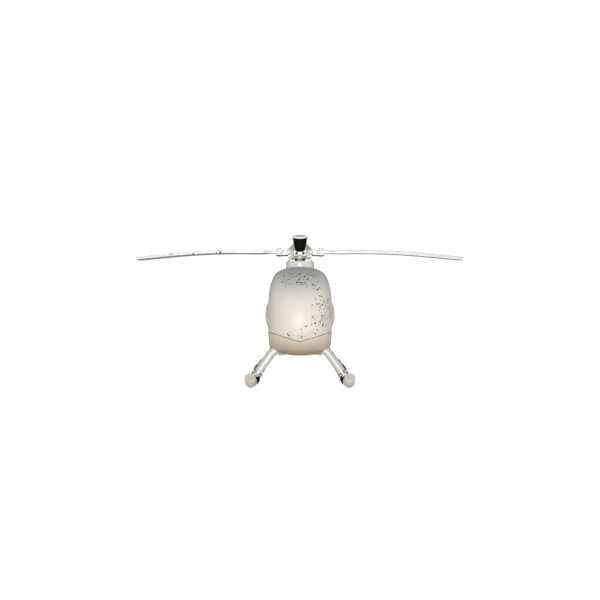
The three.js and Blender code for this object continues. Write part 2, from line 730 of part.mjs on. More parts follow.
const mast = cylZ(MAST_R, [50, ROTOR_Z - 2.9], { segments: 20 });
add(rotor, "mast", mast, MAT.steel);
add(rotor, "main_gear", mainGear(), MAT.nylon);
add(motorGroup, "motor_rotor", motorRotor(), MAT.motor);
add(motorGroup, "motor_mount", motorMount(), MAT.motor);

// ---------------------------------------------------------------- rotor head
const HUB_BOTTOM = ROTOR_Z - 4.9;
const HUB_HALF_LENGTH = 12.2;
const SPINDLE_R = 2;
const SADDLE = 2; // rise and fall of the cup's rim
const SADDLE_FROM = ROTOR_Z + 17; // the rim's wave grows from this height

const raise = (points) => points.map(([a, height]) => [a, ROTOR_Z + height]);
// [radius, height above the feathering axis]
const CUP_PROFILE = raise([
  [0, 3], [6.3, 3], [6.3, 5.2], [9.2, 6.2], [11.3, 9],
  [12.6, 17], [14.8, 29], [12.4, 29], [10.5, 17], [0, 15],
]);
const LID_PROFILE = raise([
  [0, 29.4], [16.1, 29.4], [16.3, 31.2], [15.4, 32.9],
  [11, 34.6], [6, 36.2], [2.6, 37.6], [0, 37.9],
]);
const CUP_CLEARANCE = raise([
  [0, 0], [6.8, 0], [6.8, 4.9], [9.7, 5.7], [11.9, 8.7], [13.2, 17], [13.7, 20], [0, 20],
]);
// right-hand ear of the yoke: [x, height above the feathering axis]
const YOKE_EAR = raise([[12.6, 4.9], [17.6, 4.9], [19.3, 6.9], [25, 7.6], [13.4, 18.4]]);

function rotorHub() {
  const hub = cut(
    join(
      box(both(HUB_HALF_LENGTH), both(5), [HUB_BOTTOM, ROTOR_Z + 4.6]),
      cylZ(5.2, [ROTOR_Z - 8.6, HUB_BOTTOM + 1]),
    ),
    cylZ(MAST_R + 0.25, [190, ROTOR_Z - 2.6]),
    cylX(SPINDLE_R + 0.15, both(20), { z: ROTOR_Z, segments: 16 }),
    cylZ(6.75, [ROTOR_Z + 2.7, 230], { segments: 24 }),
  );
  // swash driver: a bracket off the hub's face with a post that slides in a fork
  // on the swashplate, one each side
  const postY = [-14.2, -11.4];
  const bracketZ = [209.5, 214.5];
  const post = stadium(-LINK_X, [203.7, 3.2], [214.2, 3.2]);
  const driver = join(
    plate(post, "y", postY, { curveSegments: 5 }),
    box([-16, -9.7], postY, bracketZ),
    box([-HUB_HALF_LENGTH, -9.7], [-12, -4.5], bracketZ),
  );
  return join(hub, driver, halfTurn(driver));
}

// Turned shape whose rim rises along X and dips along Y
function saddled(profile) {
  const geometry = latheGeometry(profile, 24);
  const position = geometry.attributes.position;
  for (let i = 0; i < position.count; i++) {
    const x = position.getX(i);
    const y = position.getY(i);
    const z = position.getZ(i);
    const r = Math.hypot(x, y);
    const share = clamp01((z - SADDLE_FROM) / 12) * Math.min(1, r / 14);
    if (r > 0.01) position.setZ(i, z + ((x ** 2 - y ** 2) / (r * r)) * SADDLE * share);
  }
  return solid(geometry);
}

// Two narrow sloping ears beside the cup on a thin base over the hub
function yokeCap() {
  const outline = [...YOKE_EAR, ...YOKE_EAR.map(([x, z]) => [-x, z]).reverse()];
  const ears = plate(outline, "y", both(4.6));
  const base = box(both(14), both(9), [ROTOR_Z + 4.9, ROTOR_Z + 5.6]);
  return cut(join(ears, base), latheZ(CUP_CLEARANCE, 24));
}

const spindle = cylX(SPINDLE_R, both(32.5), { z: ROTOR_Z, segments: 16 });
add(rotor, "rotor_hub", rotorHub(), MAT.grip);
add(rotor, "feathering_spindle", spindle, MAT.steel);
add(rotor, "hub_cup", saddled(CUP_PROFILE), MAT.black);
add(rotor, "hub_lid", saddled(LID_PROFILE), MAT.lid);
add(rotor, "yoke_cap", yokeCap(), MAT.yoke);

// ---------------------------------------------------------------- blade grips, bolts and blades
// built for the right-hand side, then turned half way round for the left
const BLADE_SLOT = BLADE_T / 2 + 0.2; // half height of the grip's slot
const BLADE_X = 62; // start of the airfoil
const LEADING_Y = -14;
const AIRFOIL_STATIONS = [1, 0.7, 0.45, 0.25, 0.1, 0.02]; // shares of the chord
// [distance from the mast, height of the blade's centre line above the feathering axis]
const DROOP = [
  [36, 0], [60, 0.5], [90, 1.2], [125, 1.5], [160, 1.0], [198, 0.0],
  [233, -2.0], [267, -4.9], [302, -8.1], [336, -11.4], [352, -12.9],
];

const axisSpan = (half) => about(ROTOR_Z, half);

function bladeGrip() {
  const clevisX = 51;
  const armZ = axisSpan(2.4);
  const body = join(
    cylX(6.3, [20, 28], { z: ROTOR_Z, segments: 16 }),
    box([26.6, clevisX], both(9), axisSpan(6.5)),
    box([20.3, 27], [-12.4, -4], armZ),
    box([LINK_X - 3, 27], [-12.4, -9.4], armZ),
    cylY(LINK_PIN_R, [-LINK_Y, -12], { x: LINK_X, z: ROTOR_Z, segments: 8 }),
    ball(LINK_BALL_R, LINK_X, -LINK_Y, ROTOR_Z),
  );
  // round the clevis's outer corners only
  const rounding = plate(roundedRect([26, clevisX], both(9), 4), "z", axisSpan(8), {
    curveSegments: 2,
  });
  const innerPart = body.intersect(box([0, 36], both(20), axisSpan(10)));
  return cut(
    join(innerPart, body.intersect(rounding)),
    box([35.6, 60], both(20), axisSpan(BLADE_SLOT)),
    cylX(SPINDLE_R + 0.3, [10, 33.2], { z: ROTOR_Z, segments: 12 }),
    cylZ(1.85, axisSpan(10), { x: BLADE_BOLT_X, segments: 12 }),
  );
}

function bladeBolt() {
  const x = BLADE_BOLT_X;
  const shank = cylZ(1.6, [ROTOR_Z - 9, ROTOR_Z + 8], { x });
  const head = cylZ(4.6, [ROTOR_Z + 6.7, ROTOR_Z + 8.9], { x, segments: 20, topRadius: 4 });
  const nut = cylZ(4.9, [ROTOR_Z - 10.3, ROTOR_Z - 6.7], { x, segments: 6 });
  return join(shank, head, nut);
}

function droop(x) {
  const next = DROOP.findIndex(([stationX]) => x <= stationX);
  const [x0, z0] = DROOP[next - 1];
  const [x1, z1] = DROOP[next];
  return z0 + ((z1 - z0) * (x - x0)) / (x1 - x0);
}

// Half thickness of a symmetric airfoil at a share of the chord
function airfoilHalf(u) {
  const curve =
    0.2969 * Math.sqrt(u) - 0.126 * u - 0.3516 * u * u + 0.2843 * u ** 3 - 0.1015 * u ** 4;
  return Math.max(0.35, (BLADE_T / 0.2) * curve);
}

function drooping() {
  const surface = (sign) =>
    AIRFOIL_STATIONS.map((u) => [LEADING_Y + u * CHORD, sign * airfoilHalf(u)]);
  const section = [...surface(1), [LEADING_Y, 0], ...surface(-1).reverse()];
  const geometry = new THREE.ExtrudeGeometry(polygon(section), {
    depth: ROTOR_R - BLADE_X,
    steps: 9,
    bevelEnabled: false,
  });
  geometry.applyMatrix4(OUTLINE_TO_YZ).translate(BLADE_X, 0, 0);
  const position = geometry.attributes.position;
  for (let i = 0; i < position.count; i++) {
    const x = position.getX(i);
    const fadeIn = Math.min(1, (x - 55) / 20);
    position.setZ(i, position.getZ(i) + droop(x) * fadeIn + ROTOR_Z);
  }
  return solid(geometry);
}

function bladeRoot() {
  const eyeR = 8.4;
  const shape = new THREE.Shape();
  shape.absarc(BLADE_BOLT_X, 0, eyeR, Math.PI / 2, 1.5 * Math.PI, false);
  for (const [x, y] of [[60, -eyeR], [66, -13], [84, -10], [84, 10], [68, 18], [60, eyeR]]) {
    shape.lineTo(x, y);
  }
  shape.closePath();
  return plate(shape, "z", axisSpan(BLADE_T / 2), { curveSegments: 8 });
}

function mainBlade() {
  return cut(join(drooping(), bladeRoot()), cylZ(1.8, axisSpan(8), { x: BLADE_BOLT_X }));
}

for (const [name, turn] of [["right", 0], ["left", Math.PI]]) {
  const arm = addGroup(rotor);
  arm.rotation.z = turn;
  add(arm, `${name}_blade_grip`, bladeGrip(), MAT.grip);
  add(arm, `${name}_blade_bolt`, bladeBolt(), MAT.steel);
  add(arm, `${name}_main_blade`, mainBlade(), MAT.blade);
}

// ---------------------------------------------------------------- swashplate, links and rods
const SWASH_ARM_Z = [199.4, 203.4]; // horns and forks of the upper ring

// closed rings: [radius, height]
const LOWER_RING = [
  [3.4, 186.2], [5.4, 186.2], [5.4, 190.8], [14.5, 191.2], [14.5, 194.6],
  [5.9, 195], [5.9, 201], [3.4, 201], [3.4, 186.2],
];
const UPPER_RING = [
  [6.4, 199], [16.4, 199], [17, 199.7], [17, 205], [16.4, 205.6], [6.4, 205.6], [6.4, 199],
];

function swashLowerRing() {
  const arm = join(
    box([9, 21.8], both(2.6), [ROD_TOP_Z - 2.2, ROD_TOP_Z + 1.4]),
    cylX(ROD_PIN_R, [21, ROD_OFFSET], { z: ROD_TOP_Z, segments: 8 }),
    ball(ROD_BALL_R, ROD_OFFSET, 0, ROD_TOP_Z),
  );
  const arms = [0, Math.PI, Math.PI / 2].map((angle) => turnZ(arm, angle));
  return join(latheZ(LOWER_RING, 20), ...arms);
}

function swashUpperRing() {
  const horn = join(
    box([LINK_X - 3, LINK_X + 2.8], [-12.4, -7], SWASH_ARM_Z),
    cylY(LINK_PIN_R, [-LINK_Y, -12], { x: LINK_X, z: LINK_BALL_Z, segments: 8 }),
    ball(LINK_BALL_R, LINK_X, -LINK_Y, LINK_BALL_Z),
  );
  // fork round a driver post
  const fork = join(
    box([-21.6, -20], [-14, -2], SWASH_ARM_Z),
    box([-21, -14], [-6, -2], SWASH_ARM_Z),
    box([-12.8, -11.2], [-14, -7], SWASH_ARM_Z),
  );
  // two lugs on the X axis, cut from one bar
  const bar = plate(roundedRect(both(25), [197.8, 204], 2.2), "y", both(3.2), {
    curveSegments: 3,
  });
  const lugs = cut(bar, cylZ(16, [190, 210]));
  return join(latheZ(UPPER_RING, 20), lugs, horn, halfTurn(horn), fork, halfTurn(fork));
}

function pitchLink() {
  return plate(stadium(0, [LINK_BALL_Z, 3.5], [ROTOR_Z, 3.6]), "y", both(1.7), {
    holes: [[0, LINK_BALL_Z, 1.85], [0, ROTOR_Z, 2.45]],
    curveSegments: 5,
  });
}

// A flat bar with an eye at each end; it hangs from the lower ring
function servoRod() {
  const shape = new THREE.Shape();
  shape.absarc(0, SERVO_AXIS_Z, 4.2, Math.PI - 1.15, 2 * Math.PI + 1.15, false);
  shape.absarc(0, ROD_TOP_Z, 3.5, -1.05, Math.PI + 1.05, false);
  shape.closePath();
  return plate(shape, "x", both(1.3), {
    holes: [[0, SERVO_AXIS_Z, 3], [0, ROD_TOP_Z, 2.35]],
    curveSegments: 5,
  });
}

add(swash, "swash_lower_ring", swashLowerRing(), MAT.silver);
add(swash, "swash_upper_ring", swashUpperRing(), MAT.silver);
add(swash, "front_pitch_link", pitchLink(), MAT.link).position.set(LINK_X, -LINK_Y, 0);
add(swash, "rear_pitch_link", pitchLink(), MAT.link).position.set(-LINK_X, LINK_Y, 0);
for (const [name, side] of SIDES) {
  add(swash, `${name}_servo_rod`, servoRod(), MAT.link).position.set(side * ROD_OFFSET, 0, 0);
}
const rearRod = add(swash, "rear_servo_rod", servoRod(), MAT.link);
rearRod.rotation.z = Math.PI / 2;
rearRod.position.set(0, ROD_OFFSET, 0);

// ---------------------------------------------------------------- servo horns
// Spans outwards from the mast
const HORN_AXLE = [19.6, 26.3];
const HORN_ARM = [19.6, 21.6];
const HORN_PIN = [21, ROD_OFFSET];
const HORN_ARM_Z = both(1.8);
const HORN_EYE_R = 2.4;

// Axle along X, arm towards -Y
function sideHorn(side) {
  const y = -SIDE_HORN_LENGTH;
  const armX = sideSpan(side, ...HORN_ARM);
  return join(
    cylX(3.2, sideSpan(side, ...HORN_AXLE), { segments: 12 }),
    box(armX, [y, 0], HORN_ARM_Z),
    cylX(HORN_EYE_R, armX, { y, segments: 10 }),
    cylX(ROD_PIN_R, sideSpan(side, ...HORN_PIN), { y, segments: 8 }),
    ball(ROD_BALL_R, side * ROD_OFFSET, y, 0),
  );
}

// Axle along Y, arm towards -X
function rearHorn() {
  const x = -REAR_HORN_LENGTH;
  return join(
    cylY(3, HORN_AXLE, { segments: 12 }),
    box([x, 0], HORN_ARM, HORN_ARM_Z),
    cylY(HORN_EYE_R, HORN_ARM, { x, segments: 10 }),
    cylY(ROD_PIN_R, HORN_PIN, { x, segments: 8 }),
    ball(ROD_BALL_R, x, ROD_OFFSET, 0),
  );
}

for (const [name, side] of SIDES) {
  const hornGroup = addGroup(root, 0, SIDE_HORN_LENGTH, SERVO_AXIS_Z);
  add(hornGroup, `${name}_servo_horn`, sideHorn(side), MAT.nylon);
}
const rearHornGroup = addGroup(root, REAR_HORN_LENGTH, 0, SERVO_AXIS_Z);
add(rearHornGroup, "rear_servo_horn", rearHorn(), MAT.nylon);

export default root;
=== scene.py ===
"""Looks for a remote control helicopter.

Lengths are millimetres; MM turns them into metres. The nose points towards -Y, up is +Z and the
main blades lie along X at rest. "Left" is -X and "right" is +X, as seen by someone facing the nose.
"""
import math
from contextlib import contextmanager

import bmesh
import bpy
import numpy as np
from mathutils import Matrix, Vector


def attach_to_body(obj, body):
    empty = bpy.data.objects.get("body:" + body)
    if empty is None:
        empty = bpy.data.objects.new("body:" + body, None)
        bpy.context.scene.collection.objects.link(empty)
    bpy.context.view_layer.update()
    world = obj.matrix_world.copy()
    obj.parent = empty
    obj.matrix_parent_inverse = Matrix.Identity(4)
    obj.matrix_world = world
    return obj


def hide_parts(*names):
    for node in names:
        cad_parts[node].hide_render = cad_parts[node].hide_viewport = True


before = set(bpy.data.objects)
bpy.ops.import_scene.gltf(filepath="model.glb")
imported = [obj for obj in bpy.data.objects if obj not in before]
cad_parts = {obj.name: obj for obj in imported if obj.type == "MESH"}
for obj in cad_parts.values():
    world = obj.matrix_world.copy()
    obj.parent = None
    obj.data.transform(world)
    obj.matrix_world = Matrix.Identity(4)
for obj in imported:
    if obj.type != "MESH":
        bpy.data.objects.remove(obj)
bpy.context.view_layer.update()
MM = 0.001
SIDES = (("left", -1), ("right", 1))


def clamp(t):
    return min(1, max(0, t))


def ease(t):
    """Smooth step from 0 to 1, flat at both ends."""
    t = clamp(t)
    return t * t * (3 - 2 * t)


# ------------------------------------------------------------------ shader nodes
class Nodes:
    """A node tree, emptied and filled again."""

    def __init__(self, owner):
        owner.use_nodes = True
        self.tree = owner.node_tree
        self.tree.nodes.clear()

    def fill(self, node, inputs):
        """Sets inputs by name or index, each to a value or to a socket that is linked."""
        for key, value in inputs.items():
            if isinstance(value, bpy.types.NodeSocket):
                self.tree.links.new(value, node.inputs[key])
            else:
                node.inputs[key].default_value = value

    def node(self, kind, inputs=None, **settings):
        made = self.tree.nodes.new("ShaderNode" + kind)
        for key, value in settings.items():
            setattr(made, key, value)
        self.fill(made, inputs or {})
        return made

    def mix(self, factor, first, second, mode="MIX"):
        """Mixes two colours."""
        inputs = {0: factor, 6: first, 7: second}
        return self.node("Mix", inputs, data_type="RGBA", blend_type=mode).outputs[2]


class Surface(Nodes):
    """A material with one principled shader, textured in object coordinates."""

    def __init__(self, name):
        self.material = bpy.data.materials.new(name)
        super().__init__(self.material)
        self.principled = self.node("BsdfPrincipled")
        self.node("OutputMaterial", {0: self.principled.outputs[0]})
        self.position = self.node("TexCoord").outputs["Object"]

    def math(self, operation, a, b=0.0, c=0.0):
        return self.node("Math", {0: a, 1: b, 2: c}, operation=operation).outputs[0]

    def times(self, a, b):
        return self.math("MULTIPLY", a, b)

    def larger(self, a, b):
        return self.math("MAXIMUM", a, b)

    def ramp(self, value, start, end):
        """0 at start, 1 at end."""
        inputs = {0: value, 1: start, 2: end}
        return self.node("MapRange", inputs, interpolation_type="SMOOTHSTEP").outputs[0]

    def noise(self, scale, detail=3.0, rough=0.55, vector=None):
        inputs = {"Vector": vector or self.position, "Scale": scale}
        inputs |= {"Detail": detail, "Roughness": rough}
        return self.node("TexNoise", inputs).outputs[0]

    def stretched(self, scale):
        return self.node("Mapping", {"Vector": self.position, "Scale": scale}).outputs[0]

    def xyz(self):
        return self.node("SeparateXYZ", {0: self.position}).outputs

    def set(self, **inputs):
        """Sets principled inputs; an underscore stands for a space."""
        self.fill(self.principled, {key.replace("_", " "): v for key, v in inputs.items()})

    def bump(self, height, strength, distance):
        inputs = {"Strength": strength, "Distance": distance, "Height": height}
        self.set(Normal=self.node("Bump", inputs).outputs[0])


def rgb(*channels):
    """Linear colour from 0-255 display values."""
    def linear(c):
        c /= 255
        return c / 12.92 if c <= 0.04045 else ((c + 0.055) / 1.055) ** 2.4
    return (*map(linear, channels), 1)


def scaled(color, factor, lift=0.0):
    return tuple(min(1, c * factor + lift) for c in color[:3]) + (1,)


# ------------------------------------------------------------------ kinds of material
# Brown grey that darkens hollows, and the colour of paint chips
HOLLOW_BROWN, CHIP = rgb(96, 84, 70), rgb(38, 33, 28)


def moulded(name, color, rough, grain, grain_strength, vary, hollow_dark, coat=0.0, spec=0.5,
            speck=None, warm=None, cool=None, edge=0.25, coat_rough=0.15, underside_shade=None):
    """Moulded or painted plastic: fine grain, faint mottling, darker in hollows, rubbed edges.

    speck draws dark chips. warm and cool are (z at no effect, z at full effect, colour) and paint
    shade: warm multiplies, a painted warm-tinted shade low down, and cool replaces, a painted grey
    shade high up. The last argument is painted shade, the colour of faces that look straight down.
    """
    base = rgb(*color)
    s = Surface(name)
    pointiness = s.node("NewGeometry").outputs["Pointiness"]
    mottle = s.ramp(s.noise(scale=22, detail=4), 0.35, 0.68)
    col = s.mix(mottle, scaled(base, 1 - vary), scaled(base, 1 + vary * 0.6))
    # Painted shade: the colour darkens towards beige low down, as warm bounce light from the floor
    # would tint it.
    if warm:
        fade = s.ramp(s.xyz()[2], warm[0] * MM, warm[1] * MM)
        col = s.mix(fade, col, s.mix(1.0, col, warm[2], "MULTIPLY"))
    # Painted shade: the colour turns grey higher up, where the surface faces away from the key
    # light.
    if cool:
        col = s.mix(s.ramp(s.xyz()[2], cool[0] * MM, cool[1] * MM), col, cool[2])
    # Painted shade: faces that look straight down take a grey colour.
    if underside_shade:
        normal = s.node("SeparateXYZ", {0: s.node("NewGeometry").outputs["Normal"]})
        col = s.mix(s.ramp(normal.outputs[2], -0.9, -0.985), col, underside_shade)
    # Hollows, found by low pointiness, are darkened towards brown grey.
    hollow = s.ramp(pointiness, 0.5, 0.44)
    col = s.mix(s.times(hollow, hollow_dark), col, HOLLOW_BROWN)
    patches = s.ramp(s.noise(scale=160, detail=5, rough=0.7), 0.45, 0.6)
    worn = s.times(s.ramp(pointiness, 0.53, 0.6), patches)
    col = s.mix(s.times(worn, edge), col, scaled(base, 1.25, 0.03))
    smudge = s.noise(scale=60, detail=5, rough=0.65)
    roughness = s.math("MULTIPLY_ADD", smudge, 0.16, rough - 0.08)
    height = s.noise(scale=grain, detail=2, rough=0.6)
    if speck:
        mark = speck(s)
        col = s.mix(mark, col, CHIP)
        roughness = s.math("MULTIPLY_ADD", mark, 0.25, roughness)
        height = s.math("MULTIPLY_ADD", mark, -2.0, height)
    s.set(Base_Color=col, Roughness=roughness, Metallic=0.0, Coat_Weight=coat,
          Specular_IOR_Level=spec, Coat_Roughness=coat_rough)
    s.bump(height, strength=grain_strength, distance=0.0004)
    return s.material


def metal(name, color, rough, brushed, metallic, vary, scratch):
    """Turned or brushed metal: fine directional lines, smudges, darker in hollows."""
    base = rgb(*color)
    s = Surface(name)
    pointiness = s.node("NewGeometry").outputs["Pointiness"]
    lines = s.noise(scale=500, detail=3, rough=0.6, vector=s.stretched(brushed))
    smudge = s.noise(scale=45, detail=4, rough=0.6)
    col = s.mix(s.ramp(smudge, 0.3, 0.7), scaled(base, 1 - vary), base)
    # Hollows, found by low pointiness, are darkened towards grey brown.
    col = s.mix(s.times(s.ramp(pointiness, 0.5, 0.43), 0.35), col, rgb(70, 66, 60))
    streaks = s.math("MULTIPLY_ADD", lines, scratch, rough - scratch / 2)
    roughness = s.math("ADD", streaks, s.times(s.ramp(smudge, 0.5, 0.75), 0.08))
    s.set(Base_Color=col, Roughness=roughness, Metallic=metallic)
    s.bump(lines, strength=0.05, distance=0.0002)
    return s.material


def fibre(name):
    """Woven fibre board: a two-over-two twill seen through clear resin."""
    threads_per_metre = 1100
    s = Surface(name)
    x, y, z = s.xyz()
    warp = s.times(s.math("ADD", y, x), threads_per_metre)
    weft = s.times(s.math("ADD", z, s.times(x, 0.7)), threads_per_metre)
    cell = s.math("ADD", s.math("FLOOR", warp), s.math("FLOOR", weft))
    over = s.math("LESS_THAN", s.math("FLOORED_MODULO", cell, 4.0), 2.0)
    warp_round = s.math("SINE", s.times(s.math("FRACT", warp), math.pi))
    weft_round = s.math("SINE", s.times(s.math("FRACT", weft), math.pi))
    below = s.times(s.math("SUBTRACT", 1.0, over), weft_round)
    height = s.math("ADD", s.times(over, warp_round), below)
    col = s.mix(s.ramp(height, 0.1, 1.0), rgb(10, 10, 11), rgb(46, 47, 50))
    col = s.mix(s.times(over, 0.3), col, rgb(60, 61, 65))
    s.set(Base_Color=col, Roughness=0.42, Coat_Weight=0.7, Specular_IOR_Level=0.4,
          Coat_Roughness=0.12)
    s.bump(height, strength=0.12, distance=0.0001)
    return s.material


def rubber(name, color, rough):
    """Dusty rubber."""
    s = Surface(name)
    grain = s.noise(scale=700, detail=3, rough=0.7)
    dust = s.ramp(s.noise(scale=35, detail=5, rough=0.7), 0.55, 0.8)
    col = s.mix(s.times(dust, 0.25), rgb(*color), rgb(92, 88, 82))
    roughness = s.math("MULTIPLY_ADD", dust, 0.2, rough - 0.05)
    s.set(Base_Color=col, Roughness=roughness, Specular_IOR_Level=0.4)
    s.bump(grain, strength=0.12, distance=0.0003)
    return s.material


# ------------------------------------------------------------------ paint chips
def flecks(s, cell, size, keep, mask):
    """At most one chip per Voronoi cell, kept in a share of the cells where the mask is high."""
    inputs = {"Vector": s.stretched((1, 1, 1)), "Scale": 1.0 / (cell * MM)}
    cells = s.node("TexVoronoi", inputs)
    ragged = s.math("MULTIPLY_ADD", s.noise(scale=900, detail=2), 0.5, 0.75)
    chance = s.node("SeparateColor", {0: cells.outputs["Color"]}).outputs
    spread = s.math("POWER", chance[0], 2.0)
    radius = s.math("MULTIPLY_ADD", spread, size * 0.62 / cell, size * 0.38 / cell)
    inside = s.math("LESS_THAN", cells.outputs["Distance"], s.times(radius, ragged))
    return s.times(inside, s.math("LESS_THAN", chance[1], s.times(mask, keep)))


def shell_flecks(s):
    """Chips in soft ovals on the front of the shell."""
    x, y, z = s.xyz()

    def oval(centre_x, centre_z, radius_x, radius_z):
        across = s.math("DIVIDE", s.math("SUBTRACT", x, centre_x * MM), radius_x * MM)
        up = s.math("DIVIDE", s.math("SUBTRACT", z, centre_z * MM), radius_z * MM)
        distance = s.math("SQRT", s.math("ADD", s.times(across, across), s.times(up, up)))
        return s.ramp(distance, 1.15, 0.75)

    front = s.ramp(y, 20 * MM, -30 * MM)
    crown = s.larger(oval(-17, 152, 26, 19), oval(14, 152, 28, 19))
    right = oval(42, 90, 22, 38)
    low = s.larger(oval(2, 47, 32, 10), oval(22, 60, 14, 9))
    shoulder = oval(30, 132, 10, 16)
    mask = s.larger(s.larger(s.times(crown, 0.72), s.times(right, 0.82)),
                    s.larger(s.times(low, 0.9), s.times(shoulder, 0.6)))
    mask = s.larger(s.times(mask, front), 0.01)
    mask = s.times(mask, s.ramp(s.noise(scale=75, detail=2), 0.3, 0.5))
    large = flecks(s, cell=5.0, size=2.6, keep=0.8, mask=mask)
    small = flecks(s, cell=3.9, size=1.7, keep=0.5, mask=mask)
    return s.larger(large, small)


def blade_flecks(s):
    """Chips along the outer part of the left blade."""
    x = s.xyz()[0]
    mask = s.times(s.ramp(x, -360 * MM, -300 * MM), s.ramp(x, -70 * MM, -100 * MM))
    large = flecks(s, cell=7, size=3.0, keep=0.62, mask=mask)
    small = flecks(s, cell=5, size=1.6, keep=0.35, mask=mask)
    return s.larger(large, small)


# ------------------------------------------------------------------ materials
# warm and cool paint shade onto the shell: a beige shade low down and a grey shade high up.
SHELL_LOOK = dict(coat=0.3, speck=shell_flecks, warm=(58, 6, rgb(210, 197, 183)),
                  cool=(95, 170, rgb(200, 202, 202)), coat_rough=0.42)
# The grey for faces that look down is painted shade on the blade's underside.
BLADE_LOOK = dict(coat=0.25, underside_shade=rgb(158, 157, 155))
CHIPPED_LOOK = dict(BLADE_LOOK, speck=blade_flecks)
# name, colour, roughness, grain scale, grain depth, mottling, darkening in hollows, other arguments
# of moulded
PLASTICS = [
    ("shell_paint", (236, 231, 221), 0.45, 1400, 0.03, 0.03, 0.08, SHELL_LOOK),
    ("collar_plastic", (230, 228, 224), 0.34, 1200, 0.05, 0.03, 0.12, dict(coat=0.2)),
    ("pod_paint", (252, 230, 214), 0.32, 1300, 0.04, 0.03, 0.06, dict(coat=0.35)),
    ("blade_paint", (252, 252, 251), 0.3, 1600, 0.03, 0.02, 0.04, BLADE_LOOK),
    ("blade_paint_chipped", (252, 252, 251), 0.3, 1600, 0.03, 0.02, 0.04, CHIPPED_LOOK),
    ("grip_nylon", (250, 250, 249), 0.36, 1500, 0.06, 0.02, 0.14, {}),
    ("ivory_nylon", (206, 203, 196), 0.5, 1500, 0.08, 0.05, 0.3, {}),
    ("gear_nylon", (234, 230, 218), 0.48, 1300, 0.06, 0.05, 0.3, {}),
    ("black_plastic", (9, 8, 8), 0.7, 1200, 0.1, 0.2, 0.0, dict(spec=0.12, edge=0.4)),
    ("lid_plastic", (253, 251, 248), 0.33, 1300, 0.05, 0.02, 0.12, dict(coat=0.2)),
    ("toe_plastic", (222, 216, 208), 0.5, 1000, 0.1, 0.05, 0.2, {}),
    ("servo_case", (34, 36, 40), 0.45, 1100, 0.15, 0.12, 0.1, dict(edge=0.6)),
    ("electronics_case", (30, 32, 36), 0.4, 900, 0.12, 0.12, 0.1, dict(edge=0.6)),
    ("battery_wrap", (38, 66, 112), 0.25, 300, 0.25, 0.08, 0.2, dict(coat=0.6, edge=0.3)),
    ("strap_fabric", (24, 24, 26), 0.9, 1800, 0.5, 0.15, 0.0, dict(spec=0.2)),
    ("wire_red", (176, 26, 22), 0.4, 900, 0.08, 0.08, 0.05, {}),
    ("wire_black", (18, 18, 19), 0.45, 900, 0.08, 0.1, 0.05, {}),
    ("wire_pale", (214, 206, 190), 0.5, 900, 0.08, 0.06, 0.1, {}),
]
# name, colour, roughness, stretch of the brushed lines, metallic, mottling, scratch contrast
METALS = [
    ("copper_winding", (196, 112, 62), 0.32, (30, 30, 4), 1.0, 0.06, 0.12),
    ("silver_paint", (226, 225, 223), 0.42, (1, 1, 1), 0.2, 0.04, 0.08),
    ("machined_aluminium", (206, 208, 211), 0.3, (1, 40, 1), 1.0, 0.06, 0.12),
    ("yoke_paint", (138, 138, 135), 0.5, (1, 1, 1), 0.3, 0.06, 0.12),
    ("swash_paint", (186, 184, 178), 0.45, (1, 1, 1), 0.3, 0.06, 0.12),
    ("steel", (196, 198, 202), 0.22, (1, 1, 30), 1.0, 0.06, 0.12),
    ("bolt_plating", (232, 232, 230), 0.38, (1, 1, 30), 0.35, 0.08, 0.1),
    ("motor_aluminium", (160, 164, 168), 0.26, (1, 1, 60), 1.0, 0.06, 0.12),
]
MATERIALS = {row[0]: moulded(*row[:-1], **row[-1]) for row in PLASTICS}
MATERIALS |= {row[0]: metal(*row) for row in METALS}
MATERIALS["fibre_board"] = fibre("fibre_board")
MATERIALS["skid_sleeve"] = rubber("skid_sleeve", (16, 16, 17), rough=0.5)
MATERIALS["black_rubber"] = rubber("black_rubber", (12, 12, 12), rough=0.65)
# The black on the floor of each screw recess is painted shade in the recess.
SCREW_PAINTS = ("steel", "black_rubber")  # the head and the floor of its recess


# ------------------------------------------------------------------ meshes into objects
@contextmanager
def editing(mesh):
    bm = bmesh.new()
    bm.from_mesh(mesh)
    yield bm
    bm.to_mesh(mesh)
    bm.free()


def fix_normals(bm):
    bmesh.ops.recalc_face_normals(bm, faces=bm.faces)


def shade(mesh, angle):
    """Smooth shading with sharp edges above an angle in degrees."""
    mesh.shade_smooth()
    mesh.set_sharp_from_angle(angle=math.radians(angle))


def new_mesh(name, verts, faces):
    mesh = bpy.data.meshes.new(name)
    mesh.from_pydata([tuple(float(c) * MM for c in v) for v in verts], [], faces)
    return mesh


def attach(name, mesh, body, replaces):
    """Makes the object. replaces is a CAD piece, or True for the one named like the object."""
    obj = bpy.data.objects.new(name, mesh)
    bpy.context.scene.collection.objects.link(obj)
    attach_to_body(obj, body)
    if replaces:
        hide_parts(name.removeprefix("vis_") if replaces is True else replaces)
    return obj


def make_skin(name, verts, faces, material, slot, body="airframe", angle=50):
    """An object from one sheet or body, welded first, that replaces its CAD piece."""
    mesh = new_mesh(name, verts, [tuple(int(i) for i in face) for face in faces])
    mesh.validate()
    with editing(mesh) as bm:
        bmesh.ops.remove_doubles(bm, verts=bm.verts, dist=1e-6)
        fix_normals(bm)
    shade(mesh, angle)
    mesh.materials.append(MATERIALS[material])
    return attach(name, mesh, body, True)


# ------------------------------------------------------------------ placing
def place(x=0, y=0, z=0, rx=0, ry=0):
    return Matrix.Translation((x, y, z)) @ Matrix.Rotation(ry, 4, "Y") @ Matrix.Rotation(rx, 4, "X")


def along_x(side):
    """Turns +Z to +X or, for side -1, to -X."""
    return Matrix.Rotation(side * math.pi / 2, 4, "Y")


def along_y(side):
    """Turns +Z to +Y or, for side -1, to -Y."""
    return Matrix.Rotation(-side * math.pi / 2, 4, "X")


DOWN = Matrix.Rotation(math.pi, 4, "X")


def span(side, near, far):
    """The extent from near to far, mirrored for side -1."""
    return sorted((side * near, side * far))


